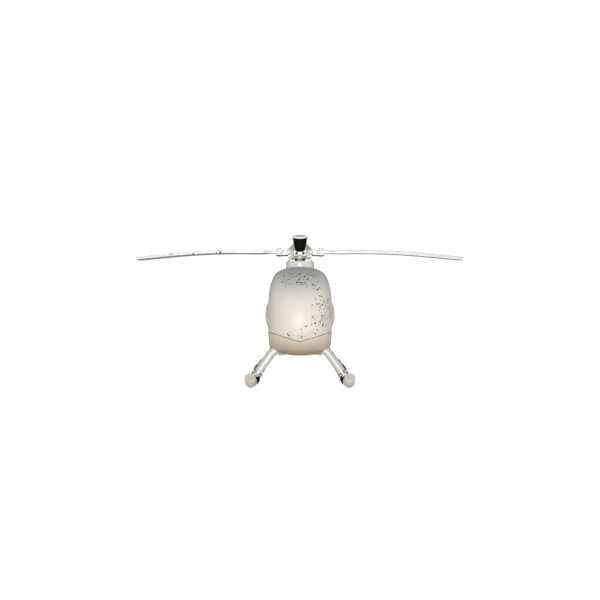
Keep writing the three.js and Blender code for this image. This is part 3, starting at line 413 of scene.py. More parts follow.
# ------------------------------------------------------------------ outlines and profiles
def rod(radius, low, high):
    """Profile (r, z) of a solid cylinder."""
    return [(0, low), (radius, low), (radius, high), (0, high)]


def tube(inner, outer, low, high):
    """Profile (r, z) of a hollow cylinder."""
    return [(inner, low), (outer, low), (outer, high), (inner, high)]


def rounded(profile, radius, steps):
    """Rounds the corners of an (r, z) profile that lie off the axis."""
    points = [np.array(p, float) for p in profile]
    is_loop = profile[0][0] > 1e-6
    out = []
    for i, corner in enumerate(points):
        if i in (0, len(points) - 1) and not is_loop:
            out.append(tuple(corner))
            continue
        back = points[i - 1] - corner
        ahead = points[(i + 1) % len(points)] - corner
        len_back, len_ahead = np.linalg.norm(back), np.linalg.norm(ahead)
        if (len_back < 1e-9 or len_ahead < 1e-9
                or abs(np.dot(back, ahead) / (len_back * len_ahead)) > 0.97):
            out.append(tuple(corner))
            continue
        cut = min(radius, len_back * 0.45, len_ahead * 0.45)
        start, end = corner + back / len_back * cut, corner + ahead / len_ahead * cut
        out += quadratic(start, corner, end, steps)
    return out


def quadratic(start, control, end, steps):
    """Points of a quadratic curve, both ends included."""
    out = []
    for k in range(steps + 1):
        t = k / steps
        out.append(tuple((1 - t) ** 2 * start + 2 * t * (1 - t) * control + t * t * end))
    return out


def arc(centre_a, centre_b, radius, start, end, steps):
    """Points of an arc; angles in degrees."""
    angles = [math.radians(start + (end - start) * k / steps) for k in range(steps + 1)]
    return [(centre_a + radius * math.cos(t), centre_b + radius * math.sin(t)) for t in angles]


def rounded_rect(a0, a1, b0, b1, radius, steps=5):
    corners = ((a1, b0, -90), (a1, b1, 0), (a0, b1, 90), (a0, b0, 180))
    out = []
    for a, b, start in corners:
        centre_a = a - radius if a == a1 else a + radius
        centre_b = b - radius if b == b1 else b + radius
        out += arc(centre_a, centre_b, radius, start, start + 90, steps)
    return out


def slot_hole(*sizes):
    """A rounded rectangle run backwards, for use as a hole."""
    return rounded_rect(*sizes)[::-1]


def round_hole(a, b, radius, count=28):
    turns = [2 * math.pi * k / count for k in range(count)]
    return [(a + radius * math.cos(t), b - radius * math.sin(t)) for t in turns]


def soft_loop(points, cut=0.28, steps=6):
    """Rounds every corner of a loop, starting a share of the way along each side."""
    points = [np.array(p, float) for p in points]
    out = []
    for i, corner in enumerate(points):
        back, ahead = points[i - 1], points[(i + 1) % len(points)]
        start, end = corner + (back - corner) * cut, corner + (ahead - corner) * cut
        out += quadratic(start, corner, end, steps)
    return out


# ------------------------------------------------------------------ solids
def lathe(profile, segments):
    """Closed turning about Z. The profile runs from axis to axis, or loops if it starts off it."""
    verts, rings = [], []
    for radius, z in profile:
        if radius < 1e-6:
            rings.append([len(verts)])
            verts.append((0, 0, z))
        else:
            rings.append(list(range(len(verts), len(verts) + segments)))
            turns = [2 * math.pi * k / segments for k in range(segments)]
            verts += [(radius * math.cos(t), radius * math.sin(t), z) for t in turns]
    pairs = list(zip(rings, rings[1:]))
    if profile[0][0] > 1e-6:
        pairs.append((rings[-1], rings[0]))
    faces = []
    for low, high in pairs:
        for k in range(segments):
            j = (k + 1) % segments
            if len(low) == 1:
                faces.append((low[0], high[j], high[k]))
            elif len(high) == 1:
                faces.append((low[k], low[j], high[0]))
            else:
                faces.append((low[k], low[j], high[j], high[k]))
    return verts, faces


def loft(rings, caps=True):
    """Skin over rings that all have the same number of points."""
    count = len(rings[0])
    verts = [point for ring in rings for point in ring]
    faces = []
    for start in range(0, len(verts) - count, count):
        for k in range(count):
            j = (k + 1) % count
            faces.append((start + k, start + j, start + count + j, start + count + k))
    if caps:
        faces += [tuple(range(count)), tuple(range(len(verts) - count, len(verts)))]
    return verts, faces


def box(xs, ys, zs):
    verts = [(x, y, z) for x in xs for y in ys for z in zs]
    faces = [(0, 1, 3, 2), (4, 6, 7, 5), (0, 4, 5, 1), (2, 3, 7, 6), (0, 2, 6, 4), (1, 5, 7, 3)]
    return verts, faces


def prism(points, extent, axis):
    """A polygon made thick along an axis. Its points are (y, z), (x, z) or (x, y)."""
    orders = {
        "x": lambda a, b, c: (c, a, b),
        "y": lambda a, b, c: (a, c, b),
        "z": lambda a, b, c: (a, b, c),
    }
    count = len(points)
    verts = [orders[axis](a, b, c) for c in extent for a, b in points]
    faces = [tuple(range(count)), tuple(range(2 * count - 1, count - 1, -1))]
    for i in range(count):
        j = (i + 1) % count
        faces.append((i, count + i, count + j, j))
    return verts, faces


def sweep(path, radius, segments):
    """Round bar along points, with a frame carried along so that it never twists."""
    path = [np.array(p, float) for p in path]
    last = len(path) - 1
    ways = [path[min(i + 1, last)] - path[max(i - 1, 0)] for i in range(last + 1)]
    ways = [way / np.linalg.norm(way) for way in ways]
    up = np.array((0, 0, 1.0)) if abs(ways[0][2]) < 0.9 else np.array((0, 1.0, 0))
    across = np.cross(ways[0], up)
    rings = []
    for point, way in zip(path, ways):
        across = across - way * np.dot(across, way)
        across /= np.linalg.norm(across)
        other = np.cross(way, across)
        turns = [2 * math.pi * k / segments for k in range(segments)]
        rings.append([tuple(point + radius * (math.cos(t) * across + math.sin(t) * other))
                      for t in turns])
    return loft(rings)


def curve_through(points, steps):
    """Catmull-Rom curve through points."""
    points = [np.array(p, float) for p in points]
    points = [2 * points[0] - points[1]] + points + [2 * points[-1] - points[-2]]
    out = []
    for i in range(1, len(points) - 2):
        a, b, c, d = points[i - 1:i + 3]
        for k in range(steps):
            t = k / steps
            out.append(0.5 * (2 * b + (c - a) * t + (2 * a - 5 * b + 4 * c - d) * t * t
                              + (3 * b - a - 3 * c + d) * t ** 3))
    out.append(points[-2])
    return out


class Shape:
    """Closed parts collected into one object; paint is a part's index among the materials."""

    def __init__(self):
        self.verts, self.faces, self.paints = [], [], []

    def add(self, verts, faces, move=None, paint=0):
        first = len(self.verts)
        points = np.array(verts, float).reshape(-1, 3)
        if move is not None:
            move = np.array(move, float)
            points = points @ move[:3, :3].T + move[:3, 3]
        self.verts += [tuple(p) for p in points]
        self.faces += [tuple(i + first for i in face) for face in faces]
        self.paints += [paint] * len(faces)
        return self

    def lathe(self, profile, segments, move=None, paint=0):
        return self.add(*lathe(profile, segments), move, paint)

    def prism(self, points, extent, axis, move=None, paint=0):
        return self.add(*prism(points, extent, axis), move, paint)

    def box(self, xs, ys, zs, move=None):
        return self.add(*box(xs, ys, zs), move)

    def sweep(self, path, radius, segments):
        return self.add(*sweep(path, radius, segments))

    def ball(self, radius, move, paint=0):
        profile = [(0, -radius)]
        for angle in range(-75, 90, 15):
            t = math.radians(angle)
            profile.append((radius * math.cos(t), radius * math.sin(t)))
        return self.lathe(profile + [(0, radius)], 20, move, paint)

    def screw(self, where, radius, height, turn=None, recess=1):
        """Button head with a hexagonal recess, on the +Z side of `where` before the turn."""
        move = Matrix.Translation(where) @ (turn or Matrix.Identity(4))
        head = [(0, -0.6), (radius, -0.6), (radius, height * 0.45), (radius * 0.72, height),
                (radius * 0.45, height), (radius * 0.45, height * 0.35), (0, height * 0.35)]
        self.lathe(rounded(head, 0.25 * height, 2), 24, move)
        # The hexagon on the recess floor takes the paint recess, black in screw_set: painted shade
        # in the recess.
        hexagon = arc(0, 0, radius * 0.44, 0, 300, 5)
        self.prism(hexagon, (height * 0.3, height * 0.42), "z", move, recess)

    def make(self, name, materials, slot, body="airframe", replaces=None, angle=32, bevel=None):
        mesh = new_mesh(name, self.verts, self.faces)
        for material in [materials] if isinstance(materials, str) else materials:
            mesh.materials.append(MATERIALS[material])
        mesh.polygons.foreach_set("material_index", self.paints)
        with editing(mesh) as bm:
            fix_normals(bm)
            if bevel:
                edges = [e for e in bm.edges
                         if len(e.link_faces) == 2 and e.calc_face_angle(0) > math.radians(28)]
                bmesh.ops.bevel(bm, geom=edges, offset=bevel * MM, segments=2, profile=0.6,
                                affect="EDGES", clamp_overlap=True)
        shade(mesh, angle)
        return attach(name, mesh, body, replaces)


def screw_set(name, places, radius, height, turn=None):
    shape = Shape()
    for where in places:
        shape.screw(where, radius, height, turn)
    shape.make(name, SCREW_PAINTS, "steel")


# Where a flat outline and its thickness go for each axis, as rows
PLATE_TURNS = {
    "x": Matrix(((0, 0, 1, 0), (1, 0, 0, 0), (0, 1, 0, 0), (0, 0, 0, 1))),
    "y": Matrix(((1, 0, 0, 0), (0, 0, 1, 0), (0, 1, 0, 0), (0, 0, 0, 1))),
    "z": Matrix.Identity(4),
}


def cut_plate(name, outline, holes, extent, axis, material, bevel, body="airframe",
              replaces=True):
    """A flat plate with holes and softened edges, from a filled two-dimensional curve."""
    low, high = extent
    curve = bpy.data.curves.new(name + "_outline", "CURVE")
    curve.dimensions, curve.fill_mode = "2D", "BOTH"
    for loop in [outline] + holes:
        spline = curve.splines.new("POLY")
        spline.points.add(len(loop) - 1)
        for point, (a, b) in zip(spline.points, loop):
            point.co = (a * MM, b * MM, 0, 1)
        spline.use_cyclic_u = True
    curve.extrude = max(0.0, (high - low) / 2 - bevel) * MM
    curve.bevel_depth = bevel * MM
    curve.bevel_resolution = 1
    curve.offset = -bevel * MM
    holder = bpy.data.objects.new(name + "_tmp", curve)
    bpy.context.scene.collection.objects.link(holder)
    mesh = evaluated_mesh(holder)
    bpy.data.objects.remove(holder)
    bpy.data.curves.remove(curve)
    mesh.name = name
    shift = [(low + high) / 2 * MM if letter == axis else 0 for letter in "xyz"]
    mesh.transform(Matrix.Translation(shift) @ PLATE_TURNS[axis])
    with editing(mesh) as bm:
        bmesh.ops.remove_doubles(bm, verts=bm.verts, dist=1e-7)
        fix_normals(bm)
    mesh.materials.clear()
    mesh.materials.append(MATERIALS[material])
    shade(mesh, 32)
    attach(name, mesh, body, replaces)


def evaluated_mesh(obj):
    bpy.context.view_layer.update()
    graph = bpy.context.evaluated_depsgraph_get()
    return bpy.data.meshes.new_from_object(obj.evaluated_get(graph))


def bake(obj):
    """Applies the modifiers."""
    mesh = evaluated_mesh(obj)
    obj.modifiers.clear()
    obj.data = mesh


def bevel_modifier(obj, width, angle):
    bevel = obj.modifiers.new("soft_edges", "BEVEL")
    bevel.width, bevel.segments = width * MM, 2
    bevel.limit_method, bevel.angle_limit = "ANGLE", math.radians(angle)


# ------------------------------------------------------------------ driving dimensions
# Shell, along Y: nose tip, end of the nose, start of the tail cone, where the keel rises, end
NOSE_Y, FRONT_Y, REAR_Y, KEEL_Y, TAIL_Y = -165.0, -35.0, 25.0, 80.0, 190.0
BODY_HALF_WIDTH, BODY_TOP, BODY_BOTTOM = 66.8, 180.2, 0.2
NOSE_Z, BOOM_Z = 77.3, 124.0
CONE_END_R = 13.5
GROOVE = 0.42  # half width of a panel gap
SKIN = 1.8
LIP, LIP_DROP = 0.55, 0.3  # rolled strip along a cut edge: its width and how far it sinks
COLLAR_BORE = 27.8

# Landing gear
LEG_R, LEG_SLOPE = 8.2, 0.726
SKID_R, SKID_X, SKID_Z = 9.9, 94.0, -47.5
BOW_Z, BOW_FILLET, BOW_FOOT = 11.0, 9.0, 1.2
FRONT_BOW, REAR_BOW = -97.0, 118.0
BOWS = (("front", FRONT_BOW), ("rear", REAR_BOW))

# Belly plate and the gap left round it
PLATE_HALF_X, PLATE_Y, PLATE_CORNER, PLATE_GAP = 43, (-106, 128), 8, 0.5
FRAME_X = (16, 18)  # inner and outer face of a frame plate

# Controls and rotor head
SERVO_BALL_Z, SWASH_BALL_Z, LOWER_BALL_REACH = 125, 193.2, 24
LINK_X, LINK_Y, LINK_Z = 16.4, 16, 201.2
HEAD_Z = 213.8
BOLT_X, ROOT_R, BLADE_THICKNESS = 45.3, 8.4, 6.6
TAIL_AXLE_Y = 442.0

# ------------------------------------------------------------------ shell surface
# Half of the cross-section, bottom to top: share of the half width, share of the height
SECTION = np.array([
    [0, 0], [0.42, 0.007], [0.7, 0.026], [0.87, 0.05], [0.932, 0.07],
    [0.968, 0.125], [0.996, 0.25], [1.0, 0.4], [0.99, 0.56], [0.958, 0.715],
    [0.885, 0.83], [0.79, 0.908], [0.62, 0.957], [0.34, 0.99], [0, 1],
])
SECTION_STEPS = 7  # points in each span of the section


def section_curve():
    """Curve through SECTION as (share of the way, point).

    Centripetal spacing keeps the short spans at the chine from overshooting.
    """
    mirror = np.array((-1, 1))
    points = [SECTION[1] * mirror, *SECTION, SECTION[-2] * mirror]
    spans = len(SECTION) - 1
    out = []
    for i in range(spans):
        four = points[i:i + 4]
        knots = [0.0]
        for a, b in zip(four, four[1:]):
            knots.append(knots[-1] + max(1e-6, np.linalg.norm(b - a)) ** 0.5)

        def blend(a, b, start, end):
            return (end - t) / (end - start) * a + (t - start) / (end - start) * b

        for k in range(SECTION_STEPS):
            t = knots[1] + (knots[2] - knots[1]) * k / SECTION_STEPS
            level = four
            for reach in (1, 2):
                level = [blend(level[j], level[j + 1], knots[j], knots[j + reach])
                         for j in range(len(level) - 1)]
            point = blend(level[0], level[1], knots[1], knots[2])
            out.append(((i + k / SECTION_STEPS) / spans, point))
    out.append((1.0, SECTION[-1]))
    return out


def station(y):
    """Half width, top, bottom and roundness (0 is SECTION, 1 an ellipse) of the shell at y."""
    if y < FRONT_Y:
        s = min(1.0, (FRONT_Y - y) / (FRONT_Y - NOSE_Y))
        return (
            BODY_HALF_WIDTH * math.sqrt(max(0, 1 - s ** 2.4)),
            NOSE_Z + (BODY_TOP - NOSE_Z) * max(0, 1 - s ** 2.2) ** 0.62,
            NOSE_Z - (NOSE_Z - BODY_BOTTOM) * math.sqrt(max(0, 1 - s ** 6.5)),
            max(0, (s - 0.35) / 0.65) ** 1.6,
        )
    s = clamp((y - REAR_Y) / (TAIL_Y - REAR_Y))
    rise = ease((y - KEEL_Y) / (TAIL_Y - KEEL_Y))
    narrowing = ease(s)
    return (
        BODY_HALF_WIDTH + (CONE_END_R - BODY_HALF_WIDTH) * narrowing,
        BODY_TOP + (BOOM_Z + CONE_END_R - BODY_TOP) * narrowing ** 1.15,
        BODY_BOTTOM + (BOOM_Z - CONE_END_R - BODY_BOTTOM) * rise ** 0.9,
        ease(s * 1.1),
    )


# Rolled tail end round the boom: step along Y, scale about the boom
TAIL_ROLL = ((0.0, 0.97), (0.35, 0.93), (0.4, 0.8), (0.0, 0.735), (-4.0, 0.73))
NOSE_STEPS = 46


def body_grid():
    """The whole shell as one sheet, before it is cut into panels."""
    ys = [FRONT_Y + (NOSE_Y - FRONT_Y) * math.sin(k / NOSE_STEPS * math.pi / 2)
          for k in range(NOSE_STEPS, 0, -1)]
    ys += list(np.linspace(FRONT_Y, REAR_Y, 13)[:-1]) + list(np.linspace(REAR_Y, TAIL_Y, 36))
    section = section_curve()
    verts, rows = [], []

    def add_row(points):
        rows.append(list(range(len(verts), len(verts) + len(points))))
        verts.extend(points)

    for y in ys:
        width, top, bottom, soft = station(y)
        if width < 1e-6:
            add_row([(0, y, NOSE_Z)])
            continue
        half = []
        for share, (across, up) in section:
            angle = share * math.pi - math.pi / 2
            across += (math.cos(angle) - across) * soft
            up += ((1 + math.sin(angle)) / 2 - up) * soft
            half.append((across * width, y, bottom + (top - bottom) * up))
        add_row(half + [(-x, y, z) for x, y, z in half[-2:0:-1]])
    last = [verts[i] for i in rows[-1]]
    for step, scale in TAIL_ROLL:
        add_row([(x * scale, TAIL_Y - 0.5 + step, BOOM_Z + (z - BOOM_Z) * scale)
                 for x, _, z in last])
    faces = []
    for fore, aft in zip(rows, rows[1:]):
        for k in range(len(aft)):
            j = (k + 1) % len(aft)
            if len(fore) == 1:
                faces.append((fore[0], aft[k], aft[j]))
            else:
                faces.append((fore[k], aft[k], aft[j], fore[j]))
    return np.array(verts, float), faces


def split(verts, faces, field, keep_all=False):
    """Cuts every face along field = 0 and drops the negative side, unless keep_all."""
    value = field(verts)
    value[np.abs(value) < 1e-4] = 1e-4
    verts = list(map(tuple, verts))
    cuts, out = {}, []

    def crossing(i, j):
        key = (min(i, j), max(i, j))
        if key not in cuts:
            t = value[i] / (value[i] - value[j])
            cuts[key] = len(verts)
            verts.append(tuple(a + (b - a) * t for a, b in zip(verts[i], verts[j])))
        return cuts[key]

    for face in faces:
        inside = [value[i] > 0 for i in face]
        if all(inside) or not any(inside):
            if keep_all or inside[0]:
                out.append(face)
            continue
        plus, minus = [], []
        for k, i in enumerate(face):
            following = (k + 1) % len(face)
            (plus if inside[k] else minus).append(i)
            if inside[k] != inside[following]:
                cut = crossing(i, face[following])
                plus.append(cut)
                minus.append(cut)
        if len(plus) > 2:
            out.append(tuple(plus))
        if keep_all and len(minus) > 2:
            out.append(tuple(minus))
    return np.array(verts, float), out


# ------------------------------------------------------------------ cuts in the shell
# Each field takes points and gives a signed value that is zero on the cut.
def seam(points):
    """The line between the belly and the panels above it; positive above."""
    x, y, z = points.T
    return z - (29.7 + 0.325 * np.abs(x) - 0.0652 * (np.minimum(y, -90) + 153))


def front_cut(points):
    """The leaning cut between canopy and cowl; positive behind it."""
    return points[:, 1] - (-47 + 15.5 * points[:, 2] / 182)


def mast_well(points):
    x, y, z = points.T
    return np.where(z > 150, np.hypot(x, y) - (COLLAR_BORE - 0.2), 100.0)


def bow_path(y):
    """Centre line of a landing bow, from the left skid over to the right one."""
    knee_x = SKID_X - LEG_SLOPE * (BOW_Z - SKID_Z)
    slant = math.hypot(LEG_SLOPE, 1)
    foot = np.array((SKID_X - LEG_SLOPE * BOW_FOOT, SKID_Z + BOW_FOOT))
    knee = np.array((knee_x, BOW_Z))
    below = knee + np.array((LEG_SLOPE, -1)) / slant * BOW_FILLET
    beside = np.array((knee_x - BOW_FILLET, BOW_Z))
    half = [foot + (below - foot) * k / 6 for k in range(6)] + quadratic(below, knee, beside, 10)
    return ([(-x, y, z) for x, z in half] + [(0, y, BOW_Z)]
            + [(x, y, z) for x, z in reversed(half)])


def bow_hole(bow_y, radius):
    path = np.array(bow_path(bow_y))[:, [0, 2]]

    def field(points):
        nearest = np.full(len(points), 1e9)
        flat = points[:, [0, 2]]
        for a, b in zip(path, path[1:]):
            way = b - a
            t = np.clip(((flat - a) @ way) / (way @ way), 0, 1)
            nearest = np.minimum(nearest, np.linalg.norm(flat - (a + t[:, None] * way), axis=1))
        return np.hypot(nearest, points[:, 1] - bow_y) - radius

    return field


def plate_opening(points):
    """Rounded rectangle round the belly plate, low down only."""
    corner = PLATE_CORNER + PLATE_GAP
    middle, half_y = sum(PLATE_Y) / 2, (PLATE_Y[1] - PLATE_Y[0]) / 2
    x = np.abs(points[:, 0]) - (PLATE_HALF_X + PLATE_GAP - corner)
    y = np.abs(points[:, 1] - middle) - (half_y + PLATE_GAP - corner)
    outside = np.hypot(np.maximum(x, 0), np.maximum(y, 0)) + np.minimum(np.maximum(x, y), 0)
    return np.maximum(outside - corner, points[:, 2] - 9.5)


def kept_side(field, side, gap):
    """The field turned so that the kept side is positive, moved in by the gap."""
    return lambda points: side * field(points) - gap


def vertex_normals(verts, faces):
    normals = np.zeros_like(verts)
    for face in faces:
        corners = verts[list(face)]
        total = np.zeros(3)
        for k in range(1, len(corners) - 1):
            total += np.cross(corners[k] - corners[0], corners[k + 1] - corners[0])
        for i in face:
            normals[i] += total
    outward = verts - np.array((0, 10, 85.0))
    if np.sum(np.sign(np.sum(normals * outward, axis=1))) < 0:
        normals = -normals
    return normals / np.maximum(1e-9, np.linalg.norm(normals, axis=1))[:, None]


def panel(name, body, cuts):
    """One shell panel. cuts: (field, side kept, gap). Each cut edge gets a narrow rolled strip."""
    verts, faces = body_grid()
    edges = [kept_side(*cut) for cut in cuts]
    for edge in edges:
        verts, faces = split(verts, faces, edge)
        verts, faces = split(verts, faces, lambda points: edge(points) - LIP, keep_all=True)
    used = sorted({i for face in faces for i in face})
    renumber = {old: new for new, old in enumerate(used)}
    verts = verts[used]
    faces = [tuple(renumber[i] for i in face) for face in faces]
    normals = vertex_normals(verts, faces)
    for edge in edges:
        sink = np.clip(1 - edge(verts) / LIP, 0, 1) * LIP_DROP
        verts = verts - normals * sink[:, None]
    obj = make_skin(name, verts, faces, "shell_paint", "shell", body)
    skin = obj.modifiers.new("skin", "SOLIDIFY")
    skin.thickness = SKIN * MM
    skin.offset = -1.0
    skin.use_even_offset = False
    skin.use_rim = True


panel("vis_nose_canopy", "canopy", [(seam, 1, GROOVE), (front_cut, -1, 0.15)])
panel("vis_rear_cowl", "airframe", [(seam, 1, 0.3), (front_cut, 1, 0.3), (mast_well, 1, 0.0)])
panel("vis_belly_pan", "airframe", [
    (seam, -1, GROOVE), (plate_opening, 1, 0.0), (bow_hole(FRONT_BOW, LEG_R + 0.7), 1, 0.0)])

# Collar round the mast, with a bead near its foot
shape = Shape()
shape.lathe(rounded(tube(COLLAR_BORE, 29.9, 176.0, 193.2), 1.2, 5), 96)
shape.lathe(rounded(tube(29.7, 30.5, 178.2, 181.6), 0.35, 3), 96)
shape.make("vis_mast_collar", "collar_plastic", "collar", replaces=True, angle=50)


def side_pod(name, side):
    """A smooth blister, cut flat on its inner side."""
    around, along = 56, 28
    rings = []
    for i in range(along + 1):
        phi = math.pi * i / along
        ring = []
        for k in range(around):
            theta = 2 * math.pi * k / around
            y = 60 * math.sin(phi) * math.cos(theta)
            z = 33.5 * math.sin(phi) * math.sin(theta) * (1 - 0.06 * math.cos(theta))
            ring.append((side * (60.4 + 15.5 * math.cos(phi)), 34 + y, 78 + z))
        rings.append(ring)
    verts, faces = loft(rings, caps=False)
    verts, faces = split(np.array(verts, float), faces, lambda points: side * points[:, 0] - 50.0)
    obj = make_skin(name, verts, faces, "pod_paint", "pod", angle=60)
    with editing(obj.data) as bm:
        bmesh.ops.holes_fill(bm, edges=[e for e in bm.edges if e.is_boundary], sides=0)
        fix_normals(bm)


for name, side in SIDES:
    side_pod(f"vis_{name}_side_pod", side)

# ------------------------------------------------------------------ landing gear
for name, y in BOWS:
    shape = Shape().sweep(bow_path(y), LEG_R, 36)
    shape.make(f"vis_{name}_landing_bow", "silver_paint", "silver", replaces=True, angle=50)

# Straps over the rear bow: an arch with a flat foot on each side, as (y, z)
STRAP_OUTER, STRAP_INNER, STRAP_FOOT_Z = 10.0, 8.45, (2.7, 5.6)
low, high = STRAP_FOOT_Z
strap = (arc(0, BOW_Z, STRAP_OUTER, 0, 180, 16)
         + [(-STRAP_OUTER, high), (-16, high), (-16, low), (-STRAP_INNER, low)]
         + arc(0, BOW_Z, STRAP_INNER, 0, 180, 16)[::-1]
         + [(STRAP_INNER, low), (16, low), (16, high), (STRAP_OUTER, high)])
for k, x in enumerate((-26, 26)):
    shape = Shape().prism([(y + REAR_BOW, z) for y, z in strap], (x - 5, x + 5), "x")
    shape.make(f"vis_bow_strap_{k}", "machined_aluminium", "block", bevel=0.3)
    spots = [(x, REAR_BOW + y, high) for y in (-13, 13)]
    screw_set(f"vis_bow_strap_screws_{k}", spots, radius=2.2, height=1.8)


def skid_tube(name, side):
    axis = place(side * SKID_X, 0, SKID_Z) @ along_y(1)
    shape = Shape().lathe(rounded(rod(SKID_R, -136, 165), 1.6, 4), 40, axis)
    for y in (-128, 155):
        bead = tube(SKID_R - 0.2, SKID_R + 0.45, y - 1.6, y + 1.6)
        shape.lathe(rounded(bead, 0.35, 2), 40, axis)
    shape.make(f"vis_{name}_skid_tube", "skid_sleeve", "skid", replaces=True, angle=45)


TOE_R, TOE_BEND_R, TOE_BEND_Y, TOE_ANGLE = 10.3, 28.0, -146.5, math.radians(50)
# Dished end face: distance past the bend, change of radius; the last ring nearly closes it
TOE_FACE = ((1.5, 0), (3.0, 0), (3.6, -0.25), (4.0, -0.8), (4.0, -1.6), (3.6, -2.2),
            (3.5, -4.5), (3.5, 0.4 - TOE_R))


def skid_toe(name, side):
    """Upturned toe: the bent barrel, its dished end face and a narrow band at the joint."""
    path = [np.array((0, y, 0)) for y in (-136.6, -141, TOE_BEND_Y)]
    control = np.array((-TOE_BEND_R * math.tan(TOE_ANGLE / 2), 0))
    end = TOE_BEND_R * np.array((-math.sin(TOE_ANGLE), 1 - math.cos(TOE_ANGLE)))
    for y, z in quadratic(np.zeros(2), control, end, 14)[1:]:
        path.append(np.array((0, TOE_BEND_Y + y, z)))
    barrel = len(path)
    final = np.array((0, -math.cos(TOE_ANGLE), math.sin(TOE_ANGLE)))
    path += [path[-1] + final * distance for distance, _ in TOE_FACE]
    radii = [TOE_R] * barrel + [TOE_R + change for _, change in TOE_FACE]
    across = np.array((1.0, 0, 0))
    rings = []
    for i, (point, radius) in enumerate(zip(path, radii)):
        if i >= barrel - 1:
            way = final
        elif i == 0:
            way = np.array((0, -1.0, 0))
        else:
            way = path[i + 1] - path[i - 1]
            way = way / np.linalg.norm(way)
        other = np.cross(way, across)
        turns = [2 * math.pi * k / 40 for k in range(40)]
        rings.append([tuple(point + radius * (math.cos(t) * across + math.sin(t) * other))
                      for t in turns])
    x = side * SKID_X
    shape = Shape().add(*loft(rings), move=place(x + side * 0.6, 0, SKID_Z))
    band = rounded(tube(TOE_R - 0.3, TOE_R + 0.25, -140.4, -136.8), 0.2, 2)
    shape.lathe(band, 40, place(x, 0, SKID_Z) @ along_y(1))
    shape.make(f"vis_{name}_skid_toe", "toe_plastic", "toe", replaces=True, angle=40)


for name, side in SIDES:
    skid_tube(name, side)
    skid_toe(name, side)


def skid_clamp(name, y, side):
    """Saddle over the skid tube with a rubbing pad, a leg socket, two bands and its screws."""
    x = side * SKID_X
    outer = SKID_R + 2.6

    def around_skid(points):
        return [(x + side * a, SKID_Z + b) for a, b in points]

    # black pad between saddle and tube, on the inner side
    pad = arc(0, 0, SKID_R + 3.4, 132, 222, 20) + arc(0, 0, SKID_R + 0.1, 132, 222, 20)[::-1]
    shape = Shape().prism(around_skid(pad), (y - 11, y + 11), "y")
    shape.make(f"vis_{name}_clamp_pad", "black_plastic", "black", angle=40, bevel=0.3)

    saddle = arc(0, 0, outer, -24, 148, 26) + arc(0, 0, SKID_R + 0.25, -28, 150, 26)[::-1]
    shape = Shape().prism(around_skid(saddle), (y - 12, y + 12), "y")
    tilt = -math.atan(LEG_SLOPE) * side
    leg = place(x, y, SKID_Z, ry=tilt)
    shape.lathe(tube(8.4, 9.6, 11, 18.2), 36, leg)
    shape.make(f"vis_{name}_skid_clamp", "silver_paint", "silver", replaces=True, angle=40,
               bevel=0.35)

    shape = Shape()
    for low, high in ((10.6, 12.6), (16.0, 18.4)):
        shape.lathe(rounded(tube(8.4, 10.0, low, high), 0.4, 3), 36, leg)
    for step in (-7.5, 7.5):
        where = (x + side * (outer - 0.4), y + step, SKID_Z + 1.0)
        shape.screw(where, 2.1, 1.8, turn=along_x(side))
    # one screw on each side of the socket, inner side first
    for way in (-side, side):
        where = tuple(leg @ Vector((way * 9.4, 0, 14.3)))
        shape.screw(where, 1.8, 1.8, turn=Matrix.Rotation(tilt + way * math.pi / 2, 4, "Y"))
    # black_rubber colours the floors of the screw recesses here: painted shade.
    paints = ("machined_aluminium", "black_rubber")
    shape.make(f"vis_{name}_clamp_bands", paints, "silver", angle=40)


for end, y in BOWS:
    for name, side in SIDES:
        skid_clamp(f"{end}_{name}", y, side)

cut_plate("vis_belly_plate", rounded_rect(-PLATE_HALF_X, PLATE_HALF_X, *PLATE_Y, PLATE_CORNER, 6),
          [round_hole(0, y, 9, 32) for y in (-60, 60)]
          + [round_hole(0, y, 5, 24) for y in (-90, 30, 100)],
          (0, 2.5), "z", "silver_paint", bevel=0.4)
spots = [(x, y, 0.0) for x in (-34, 34) for y in (-84, -40, 20, 76, 120)]
screw_set("vis_belly_plate_screws", spots, radius=2.4, height=1.2, turn=DOWN)

# ------------------------------------------------------------------ frame
# Frame plate, as (y, z)
FRAME_OUTLINE = [(-80, 2.8), (76, 2.8), (94, 34), (126, 108), (126, 138), (92, 156), (40, 158),
                 (-26, 158), (-44, 138), (-56, 100), (-80, 70)]
# Round holes: y, z, radius
FRAME_HOLES = [(-62, 22, 8), (-28, 24, 10), (8, 30, 9), (-42, 60, 9), (70, 60, 9), (66, 28, 8),
               (-22, 120, 10), (78, 128, 10)]
FRAME_SLOT = slot_hole(-41, 41, 81.5, 94.5, 5)
# Screws: y, z
FRAME_SCREWS = [(-9, 150.5), (9, 150.5), (-9, 61), (9, 61), (104, 116), (122, 116), (104, 132),
                (122, 132), (36, 61.4), (52, 61.4), (-70, 35.2), (-50, 35.2)]
for name, side in SIDES:
    cut_plate(f"vis_{name}_frame_plate", FRAME_OUTLINE,
              [round_hole(*hole) for hole in FRAME_HOLES] + [FRAME_SLOT],
              span(side, *FRAME_X), "x", "fibre_board", bevel=0.25)
    spots = [(side * FRAME_X[1], y, z) for y, z in FRAME_SCREWS]
    screw_set(f"vis_{name}_frame_screws", spots, radius=2.2, height=1.5, turn=along_x(side))

